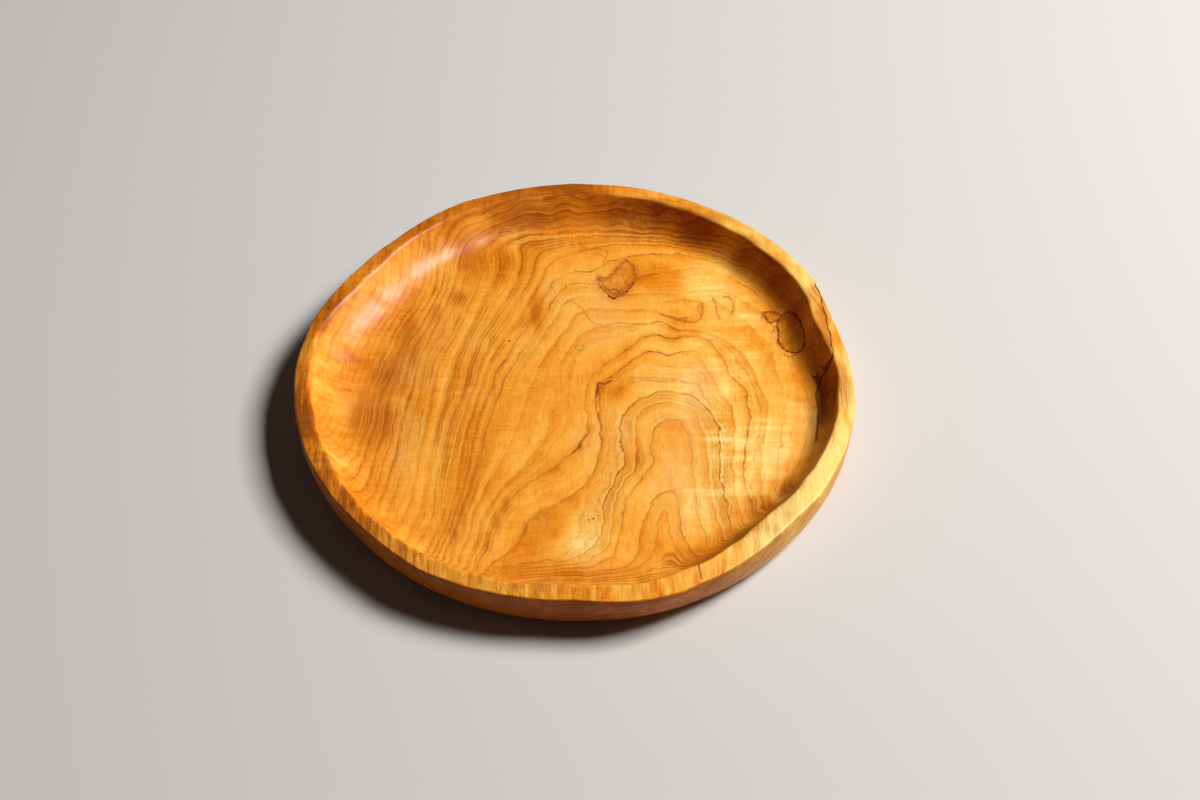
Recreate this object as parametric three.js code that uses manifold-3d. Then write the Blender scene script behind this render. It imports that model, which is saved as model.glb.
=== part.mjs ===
// A round serving plate carved from one board of figured olive wood, with a raised rim of wandering width.
// The board carries three encased knots, branch stubs that bark parts from the wood round them, and a seam
// of bark that crosses the rim. Each of those is a body of its own, seated in a socket in the plate.
// Millimetres and degrees, +Z up, origin on the table under the middle of the plate. Bearings run
// anticlockwise from +X, seen from above.
import * as THREE from "three";
import { mergeVertices } from "three/addons/utils/BufferGeometryUtils.js";
import Module from "manifold-3d";

// Plate: overall sizes
const RIM_RADIUS = 128;
const RIM_HEIGHT = 25;
const RIM_DROP = 1;
const RIM_WIDTH = 8;
const RIM_EDGE_ROUND = 1.2;
const FLOOR_THICKNESS = 10.5;
const FOOT_INSET = 13;
const FOOT_SHIFT = new THREE.Vector2(3, -1);
const WALL_FULLNESS = 2.4;

// Rim: how far its outer edge and its width stray from the sizes above, every 15 degrees from bearing 0
const RIM_STRAY = [
  -0.8, -2.0, 1.4, 2.0, 1.7, 1.7, 1.1, 0.3, -0.3, -3.2, -3.1, -1.2, -0.7, -1.1, -1.0, -1.1, 1.0, 0.8, 0.4, 4.0,
  2.8, 0.5, 1.1, 0.8,
];
const WIDTH_STRAY = [
  -0.8, 1.0, 0.6, 1.2, 0.6, 0.6, 0.6, 0.0, 0.2, -0.7, 0.8, -1.7, -1.5, -0.5, -0.3, -1.8, -0.5, -1.2, 0.0, 0.9,
  1.3, 1.8, 1.1, 0.1,
];

// Cove between rim and floor: steep nearly all round, drawn out into a long slope on one side
const COVE_RUN = 14;
const COVE_CURVE = 2.4;
const SLOPE_EXTRA_RUN = 16;
const SLOPE_BEARING = 160;
const SLOPE_SPREAD = 42;

// Hollow in the cove where the carving has met the bark seam and bared it
const HOLLOW_DEPTH = 2;
const HOLLOW_START = -14;
const HOLLOW_END = 4.5;
const HOLLOW_FADE = 6;
const HOLLOW_FULL = 0.25;
const HOLLOW_FOOT = 0.68;

// Seating: clearance round every let-in body, thickness of bark, and how much a knot narrows downwards
const SEAT_GAP = 0.3;
const BARK_THICKNESS = 1;
const KNOT_TAPER = 1.2;

// Corner knot: an arrowhead, with bark along its lower edges only
const CORNER_KNOT = {
  bearing: 74.6,
  fromRim: 44,
  lean: new THREE.Vector2(-0.3, 0.1),
  outline: [
    [-2, -12.5], [3, -9], [6.5, -4.5], [9, 0.5], [9, 6], [7, 10.5], [4, 13],
    [0.5, 9], [-2.5, 4], [-5, 1.3], [-9, 1.2], [-8.8, -3], [-6.5, -7.5],
  ],
};
// The bark's upper ends, measured from the middle of the knot
const CORNER_BARK_TOP = -3;

// Twin knots: a long main knot and a small side knot, ringed by one band of bark
const TWIN_KNOTS = {
  bearing: 19.9,
  fromRim: 9.4,
  lean: new THREE.Vector2(0.7, 0.2),
  mainOutline: [
    [-1, 13], [3, 9.5], [5, 1], [6, -8], [4, -12], [0.5, -12.3], [-3, -9], [-5, -2.5], [-5.5, 4], [-4.3, 9.5],
  ],
  sideOutline: [[-11.2, 13.8], [-8.4, 15.6], [-5.2, 14.4], [-6.8, 10.2], [-9.4, 9.2]],
};

// Bark seam: crosses the rim on a slant, from the inner edge to the outer edge
const SEAM_START = 4.5;
const SEAM_END = 27.5;
const SEAM_BEND = 0.7;
const SEAM_THICKNESS = 0.7;
const SEAM_DEPTH = 8;
const SEAM_LEAN = 0.3;

// Facets
const SEGMENTS = 120;
const WALL_STEPS = 9;
const EDGE_STEPS = 3;
const COVE_STEPS = 14;
const OUTLINE_STEPS = 40;
const SEAM_STEPS = 16;

// How far a cutting body stands proud of what it cuts, and how near two corners count as one
const OVERCUT = 2;
const WELD = 1e-4;

const radians = THREE.MathUtils.degToRad;
const lerp = THREE.MathUtils.lerp;

const wasm = await Module();
wasm.setup();

// Geometry to solid and back

function solidOf(geometry) {
  const bare = new THREE.BufferGeometry().setAttribute("position", geometry.getAttribute("position"));
  if (geometry.index) bare.setIndex(geometry.index);
  const merged = mergeVertices(bare, WELD);
  return new wasm.Manifold(
    new wasm.Mesh({
      numProp: 3,
      vertProperties: merged.getAttribute("position").array,
      triVerts: new Uint32Array(merged.index.array),
    }),
  );
}

function geometryOf(solid) {
  const mesh = solid.getMesh();
  const geometry = new THREE.BufferGeometry();
  geometry.setAttribute("position", new THREE.BufferAttribute(new Float32Array(mesh.vertProperties), 3));
  geometry.setIndex(new THREE.BufferAttribute(new Uint32Array(mesh.triVerts), 1));
  geometry.computeVertexNormals();
  return geometry;
}

// Outline of the rim

// The value at a bearing of a list that goes evenly round the plate, on a smooth closed curve.
function around(list, bearing) {
  const place = (THREE.MathUtils.euclideanModulo(bearing, 360) / 360) * list.length;
  const first = Math.floor(place);
  const share = place - first;
  const [a, b, c, d] = [-1, 0, 1, 2].map((step) => list[(first + step + list.length) % list.length]);
  return (
    b + 0.5 * share * (c - a + share * (2 * a - 5 * b + 4 * c - d + share * (3 * (b - c) + d - a)))
  );
}

const outerRadius = (bearing) => RIM_RADIUS + around(RIM_STRAY, bearing);
const innerRadius = (bearing) => outerRadius(bearing) - RIM_WIDTH - around(WIDTH_STRAY, bearing);

function coveRun(bearing) {
  const turn = THREE.MathUtils.euclideanModulo(bearing - SLOPE_BEARING + 180, 360) - 180;
  return COVE_RUN + SLOPE_EXTRA_RUN * Math.exp(-((turn / SLOPE_SPREAD) ** 2));
}

// How far the bared seam sets the cove back, at a share of the way from the rim down to the floor. It fades
// in along the rim and down from the edge, and ends sharply at the seam.
function hollow(bearing, share) {
  const turn = THREE.MathUtils.euclideanModulo(bearing + 180, 360) - 180;
  if (turn > HOLLOW_END || share > HOLLOW_FOOT) return 0;
  const along = THREE.MathUtils.smoothstep(turn, HOLLOW_START, HOLLOW_START + HOLLOW_FADE);
  return HOLLOW_DEPTH * along * THREE.MathUtils.smoothstep(share, 0, HOLLOW_FULL);
}

function onPlate(radius, bearing) {
  return new THREE.Vector2(radius, 0).rotateAround(new THREE.Vector2(), radians(bearing));
}

// Plate body before any socket is cut

// The section at a bearing, from the edge of the foot, up the wall, over the rim and down the cove to the edge
// of the floor. The foot is a true circle a little off the middle, and the wall blends it into the rim.
function section(bearing) {
  const outer = outerRadius(bearing);
  const inner = innerRadius(bearing);
  const wallTop = RIM_HEIGHT - RIM_DROP - RIM_EDGE_ROUND;
  const points = [];
  const add = (radius, height, shift = 0) => {
    const place = onPlate(radius, bearing).addScaledVector(FOOT_SHIFT, shift);
    points.push(new THREE.Vector3(place.x, place.y, height));
  };
  for (let step = 0; step <= WALL_STEPS; step++) {
    const turn = (1 - step / WALL_STEPS) * (Math.PI / 2);
    const inset = FOOT_INSET * (1 - Math.cos(turn) ** (2 / WALL_FULLNESS));
    const rise = 1 - Math.sin(turn) ** (2 / WALL_FULLNESS);
    add(lerp(RIM_RADIUS, outer, rise) - inset, wallTop * rise, (1 - rise) ** 2);
  }
  for (let step = 1; step <= EDGE_STEPS; step++) {
    const turn = (step / EDGE_STEPS) * (Math.PI / 2);
    add(outer - RIM_EDGE_ROUND * (1 - Math.cos(turn)), wallTop + RIM_EDGE_ROUND * Math.sin(turn));
  }
  add(inner + RIM_EDGE_ROUND, RIM_HEIGHT);
  for (let step = 0; step <= COVE_STEPS; step++) {
    const share = step / COVE_STEPS;
    const softening = step === 0 ? RIM_EDGE_ROUND / 2 : 0;
    const height = lerp(FLOOR_THICKNESS, RIM_HEIGHT, (1 - share) ** COVE_CURVE) - softening;
    add(inner - coveRun(bearing) * share + hollow(bearing, share), height);
  }
  return points;
}

// The sections joined into one closed skin, with the middle of the foot and of the floor as its poles.
function blankGeometry() {
  const sections = Array.from({ length: SEGMENTS }, (_, i) => section((i * 360) / SEGMENTS));
  const rings = sections[0].length;
  const positions = [];
  for (let ring = 0; ring < rings; ring++) {
    for (const points of sections) positions.push(...points[ring]);
  }
  const footPole = rings * SEGMENTS;
  const floorPole = footPole + 1;
  positions.push(FOOT_SHIFT.x, FOOT_SHIFT.y, 0, 0, 0, FLOOR_THICKNESS);
  const faces = [];
  for (let i = 0; i < SEGMENTS; i++) {
    const next = (i + 1) % SEGMENTS;
    const top = (rings - 1) * SEGMENTS;
    faces.push(footPole, next, i, floorPole, top + i, top + next);
    for (let ring = 0; ring + 1 < rings; ring++) {
      const low = ring * SEGMENTS;
      const high = low + SEGMENTS;
      faces.push(low + i, low + next, high + next, low + i, high + next, high + i);
    }
  }
  const geometry = new THREE.BufferGeometry();
  geometry.setAttribute("position", new THREE.Float32BufferAttribute(positions, 3));
  geometry.setIndex(faces);
  return geometry;
}

// Outlines and the leaning prisms made from them

function closedOutline(points, middle) {
  const curve = new THREE.CatmullRomCurve3(
    points.map(([x, y]) => new THREE.Vector3(middle.x + x, middle.y + y, 0)),
    true,
    "catmullrom",
    0.5,
  );
  return curve.getSpacedPoints(OUTLINE_STEPS).slice(0, -1).map((p) => new THREE.Vector2(p.x, p.y));
}

// The outline moved outwards by a distance, or inwards by a negative one.
function grown(outline, distance) {
  const turnsLeft = THREE.ShapeUtils.area(outline) > 0 ? 1 : -1;
  return outline.map((point, i) => {
    const before = outline[(i - 1 + outline.length) % outline.length];
    const after = outline[(i + 1) % outline.length];
    const along = after.clone().sub(before).normalize();
    return new THREE.Vector2(along.y, -along.x).multiplyScalar(turnsLeft * distance).add(point);
  });
}

// A prism that keeps its outline from the height `level` up. Below that it leans, by `lean` for each
// millimetre of height, and draws in towards its middle, by `taper` on average at its low end.
function leaningPrism(outline, { low, level, high, lean, taper }) {
  const ring = THREE.ShapeUtils.area(outline) > 0 ? outline : outline.slice().reverse();
  const middle = ring.reduce((sum, point) => sum.add(point), new THREE.Vector2()).divideScalar(ring.length);
  const reach = ring.reduce((sum, point) => sum + point.distanceTo(middle), 0) / ring.length;
  const footMiddle = middle.clone().addScaledVector(lean, low - level);
  const foot = ring.map((point) => point.clone().sub(middle).multiplyScalar(1 - taper / reach).add(footMiddle));
  const positions = [];
  for (const [points, height] of [[foot, low], [ring, level], [ring, high]]) {
    for (const point of points) positions.push(point.x, point.y, height);
  }
  const count = ring.length;
  const top = 2 * count;
  const faces = [];
  for (const base of [0, count]) {
    for (let i = 0; i < count; i++) {
      const next = (i + 1) % count;
      faces.push(base + i, base + next, base + count + next, base + i, base + count + next, base + count + i);
    }
  }
  for (const [a, b, c] of THREE.ShapeUtils.triangulateShape(foot, [])) faces.push(a, c, b);
  for (const [a, b, c] of THREE.ShapeUtils.triangulateShape(ring, [])) faces.push(top + a, top + b, top + c);
  const geometry = new THREE.BufferGeometry();
  geometry.setAttribute("position", new THREE.Float32BufferAttribute(positions, 3));
  geometry.setIndex(faces);
  return solidOf(geometry);
}

// Knots, right through the floor of the plate

function knotPlace(knot) {
  return onPlate(innerRadius(knot.bearing) - knot.fromRim, knot.bearing);
}

function knotPrism(outline, growth, lean) {
  return leaningPrism(grown(outline, growth), {
    low: -OVERCUT,
    level: FLOOR_THICKNESS,
    high: RIM_HEIGHT + OVERCUT,
    lean,
    taper: KNOT_TAPER,
  });
}

const barkOuter = SEAT_GAP + BARK_THICKNESS;
const socketOuter = barkOuter + SEAT_GAP;

function cornerKnot(blank) {
  const { outline, lean } = CORNER_KNOT;
  const middle = knotPlace(CORNER_KNOT);
  const edge = closedOutline(outline, middle);
  const prism = (growth) => knotPrism(edge, growth, lean);
  // A block that covers everything below a line across the knot
  const below = (height) => {
    const size = 4 * RIM_RADIUS;
    const block = new THREE.BoxGeometry(size, size, size);
    return solidOf(block.translate(middle.x, middle.y + height - size / 2, 0));
  };
  const bark = prism(barkOuter).subtract(prism(SEAT_GAP)).intersect(below(CORNER_BARK_TOP));
  const barkSocket = prism(socketOuter).intersect(below(CORNER_BARK_TOP + SEAT_GAP));
  return {
    corner_knot: prism(0).intersect(blank),
    corner_knot_bark: bark.intersect(blank),
    socket: prism(SEAT_GAP).add(barkSocket),
  };
}

function twinKnots(blank) {
  const { mainOutline, sideOutline, lean } = TWIN_KNOTS;
  const middle = knotPlace(TWIN_KNOTS);
  const main = closedOutline(mainOutline, middle);
  const side = closedOutline(sideOutline, middle);
  const both = (growth) => knotPrism(main, growth, lean).add(knotPrism(side, growth, lean));
  return {
    main_knot: knotPrism(main, 0, lean).intersect(blank),
    side_knot: knotPrism(side, 0, lean).intersect(blank),
    twin_knot_bark: both(barkOuter).subtract(both(SEAT_GAP)).intersect(blank),
    socket: both(socketOuter),
  };
}

// Bark seam in the rim

function barkSeam(blank) {
  const line = Array.from({ length: SEAM_STEPS + 1 }, (_, i) => {
    const share = i / SEAM_STEPS;
    const bearing = lerp(SEAM_START, SEAM_END, share);
    return onPlate(lerp(innerRadius(bearing), outerRadius(bearing), share ** SEAM_BEND), bearing);
  });
  const startWay = line[0].clone().sub(line[1]).setLength(OVERCUT);
  const endWay = line[SEAM_STEPS].clone().sub(line[SEAM_STEPS - 1]).setLength(OVERCUT);
  line.unshift(line[0].clone().add(startWay));
  line.push(line[line.length - 1].clone().add(endWay));
  // A strip of a given thickness along the line, leaning inwards as it goes down
  const strip = (thickness, depth) => {
    const side = (sign) =>
      line.map((point, i) => {
        const before = line[Math.max(i - 1, 0)];
        const after = line[Math.min(i + 1, line.length - 1)];
        const along = after.clone().sub(before).normalize();
        return new THREE.Vector2(along.y, -along.x).multiplyScalar((sign * thickness) / 2).add(point);
      });
    return leaningPrism([...side(1), ...side(-1).reverse()], {
      low: RIM_HEIGHT - depth,
      level: RIM_HEIGHT,
      high: RIM_HEIGHT + OVERCUT,
      lean: new THREE.Vector2(SEAM_LEAN, 0),
      taper: 0,
    });
  };
  return {
    rim_bark_seam: strip(SEAM_THICKNESS, SEAM_DEPTH).intersect(blank),
    socket: strip(SEAM_THICKNESS + 2 * SEAT_GAP, SEAM_DEPTH + SEAT_GAP),
  };
}

// Assembly

const OILED_WOOD = { color: 0xd98a2b, roughness: 0.4, metalness: 0 };
const OILED_KNOT = { color: 0xb9661c, roughness: 0.45, metalness: 0 };
const DULL_BARK = { color: 0x4a2410, roughness: 0.8, metalness: 0 };

const blank = solidOf(blankGeometry());
const { socket: cornerSocket, ...cornerPieces } = cornerKnot(blank);
const { socket: twinSocket, ...twinPieces } = twinKnots(blank);
const { socket: seamSocket, ...seamPieces } = barkSeam(blank);
const plateBody = blank.subtract(cornerSocket).subtract(twinSocket).subtract(seamSocket);

const plate = new THREE.Group();
plate.name = "olive_wood_plate";

function place(name, solid, finish) {
  const mesh = new THREE.Mesh(geometryOf(solid), new THREE.MeshStandardMaterial(finish));
  mesh.name = name;
  plate.add(mesh);
}

place("plate_body", plateBody, OILED_WOOD);
for (const [name, solid] of Object.entries({ ...cornerPieces, ...twinPieces, ...seamPieces })) {
  place(name, solid, name.includes("bark") ? DULL_BARK : OILED_KNOT);
}

export default plate;
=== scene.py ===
"""Models and finishes a round olive-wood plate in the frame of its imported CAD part.

A blank is turned ring by ring, drawn out of round as a carver would, and has three knots and their bark let
into it. The figure of the wood comes from one solid field of growth rings, so it runs on unbroken over the
dish, the rim, the wall and the underside.
"""

import math

import bpy
import numpy as np
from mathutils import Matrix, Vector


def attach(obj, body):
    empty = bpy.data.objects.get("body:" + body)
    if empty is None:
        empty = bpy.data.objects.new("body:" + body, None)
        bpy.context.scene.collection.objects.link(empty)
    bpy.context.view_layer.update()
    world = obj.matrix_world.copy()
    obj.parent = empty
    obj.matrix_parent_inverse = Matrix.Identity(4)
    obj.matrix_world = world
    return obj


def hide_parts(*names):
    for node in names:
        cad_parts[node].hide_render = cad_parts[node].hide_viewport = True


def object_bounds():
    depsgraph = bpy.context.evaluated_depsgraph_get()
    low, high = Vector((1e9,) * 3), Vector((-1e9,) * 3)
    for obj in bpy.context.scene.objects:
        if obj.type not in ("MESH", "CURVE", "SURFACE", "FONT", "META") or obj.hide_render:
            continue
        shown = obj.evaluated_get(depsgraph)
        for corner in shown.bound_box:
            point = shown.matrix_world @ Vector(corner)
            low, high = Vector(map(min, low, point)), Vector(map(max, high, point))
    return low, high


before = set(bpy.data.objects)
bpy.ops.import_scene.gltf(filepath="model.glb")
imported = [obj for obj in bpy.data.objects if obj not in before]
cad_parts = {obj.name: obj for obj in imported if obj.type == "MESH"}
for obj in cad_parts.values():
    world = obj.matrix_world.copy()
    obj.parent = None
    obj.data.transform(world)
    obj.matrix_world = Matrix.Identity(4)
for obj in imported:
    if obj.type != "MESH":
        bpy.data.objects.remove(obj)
CAD_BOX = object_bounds()

bl_info = {
    "name": "Olive Wood Plate",
    "version": (1, 0, 0),
    "blender": (4, 5, 0),
    "location": "View3D > Sidebar > Plate",
    "description": "Turns, carves and oils a round olive-wood plate with knots and a seam of bark in its rim",
    "category": "Add Mesh",
}

MM = 0.001

# Lengths that count as nothing: between heights, and for what a boolean leaves without any size
TINY = 0.01 * MM
NO_SIZE = 0.0001 * MM
# How far a cutting body reaches past what it cuts
OVERRUN = 2 * MM

# Outline of the rim: how far its outer edge and its width stray from their sizes, in millimetres, every
# 15 degrees anticlockwise from +X
RIM_STRAY = [
    -0.8, -2.0, 1.4, 2.0, 1.7, 1.7, 1.1, 0.3, -0.3, -3.2, -3.1, -1.2,
    -0.7, -1.1, -1.0, -1.1, 1.0, 0.8, 0.4, 4.0, 2.8, 0.5, 1.1, 0.8,
]
WIDTH_STRAY = [
    -0.8, 1.0, 0.6, 1.2, 0.6, 0.6, 0.6, 0.0, 0.2, -0.7, 0.8, -1.7,
    -1.5, -0.5, -0.3, -1.8, -0.5, -1.2, 0.0, 0.9, 1.3, 1.8, 1.1, 0.1,
]

# Marks of the knife along the edges of the rim: how many go round, how deep they are in millimetres, and where
# they start. Those on the outer edge are a share as deep, and start elsewhere.
KNIFE_MARKS = [(17, 0.22, 0.4), (29, 0.20, 2.1), (43, 0.14, 4.0), (61, 0.08, 1.2)]
OUTER_MARK_SHARE = 0.5
OUTER_MARK_START = 1

# Faces round the plate, rings of faces in each part of the section, and the share of the cove that its rounded
# upper edge takes up
SEGMENTS = 480
WALL_RINGS = 18
EDGE_RINGS = 4
RIM_RINGS = 5
COVE_RINGS = 28
EDGE_SHARE = 0.04

# Shares of the way down the cove at which the hollow under the seam has its full depth, and at which it stops
HOLLOW_FULL = 0.25
HOLLOW_STOP = 0.68

# Outlines of the knots, in millimetres from their middles
ARROW_KNOT_OUTLINE = [
    (-2, -12.5), (3, -9), (6.5, -4.5), (9, 0.5), (9, 6), (7, 10.5), (4, 13), (0.5, 9), (-2.5, 4), (-5, 1.3),
    (-9, 1.2), (-8.8, -3), (-6.5, -7.5),
]
LONG_KNOT_OUTLINE = [
    (-2.1, 12.1), (1.2, 11), (3.7, 5.3), (5, -1.2), (5.8, -7.1), (5.4, -10.5), (4, -12.1), (1.2, -11.8),
    (-2.2, -10.1), (-4.4, -7.6), (-5.4, -4.4), (-5.1, -0.3), (-5.2, 3.8), (-5.6, 7.3),
]
SMALL_KNOT_OUTLINE = [
    (-11.8, 14.4), (-9.6, 14.9), (-6.2, 14.4), (-3.25, 11.4), (-6.4, 9.2), (-8.8, 8.1), (-10.4, 10.8),
]
# Where the knots lie: bearing in degrees, and distance in from the rim in millimetres
ARROW_KNOT_PLACE = (74.6, 44)
TWIN_KNOT_PLACE = (19.9, 9.4)
# How far the knots lean across and along for each unit of height
ARROW_KNOT_LEAN = (-0.3, 0.1)
TWIN_KNOT_LEAN = (0.7, 0.2)
# Steps along each stretch of an outline and round all of it, and how far above the floor a knot's sides bend
STRETCH_STEPS = 24
OUTLINE_STEPS = 120
BEND_LIFT = 0.05 * MM

# Bark round the knots: seeds of its chance thickness, how many stretches of it go round, and its least thickness
# and its swell as shares of the mean
ARROW_BARK_SEED = 5
TWIN_BARK_SEED = 11
BARK_STRETCHES = 11
BARK_LEAST = 0.12
BARK_SWELL = 3.6

# Seam in the rim: steps along it, how far its waver turns from end to end in radians, the parts of the waver by
# pace, start and swing in millimetres, and the pace and the share by which its thickness swells
SEAM_STEPS = 33
SEAM_TURN = 26
SEAM_WAVER = [(1, 0, 0.30), (2.3, 1, 0.22)]
SEAM_SWELL = (1.7, 0.3)

# Angles between faces, in degrees, up to which they are shaded as one surface
KNOT_SMOOTHING = 40
BOARD_SMOOTHING = 32

# Flat map of the board, in the unit square. The dish with the rim and the
# underside are discs, by middle and radius. The wall is two strips, by low edge and height. The walls of the
# sockets are cells, by left and low edge of the first one, width and height.
MAP_NAME = "OFBake"
DISH_DISC = (0.373, 0.627, 0.368)
UNDERSIDE_DISC = (0.877, 0.877, 0.118)
WALL_STRIPS = [(0.006, 0.112), (0.128, 0.112)]
STRIP_START = 0.02
STRIP_LENGTH = 0.96
SOCKET_CELLS = (0.760, 0.258, 0.078, 0.096)
CELL_MARGIN = 0.006
# How much the cove's height spreads it on its disc, how much a face of the wall looks outwards, and how far from
# a knot's middle its socket reaches
COVE_STRETCH = 0.6
WALL_LOOK = 0.7
SOCKET_REACH = 22 * MM

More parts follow.
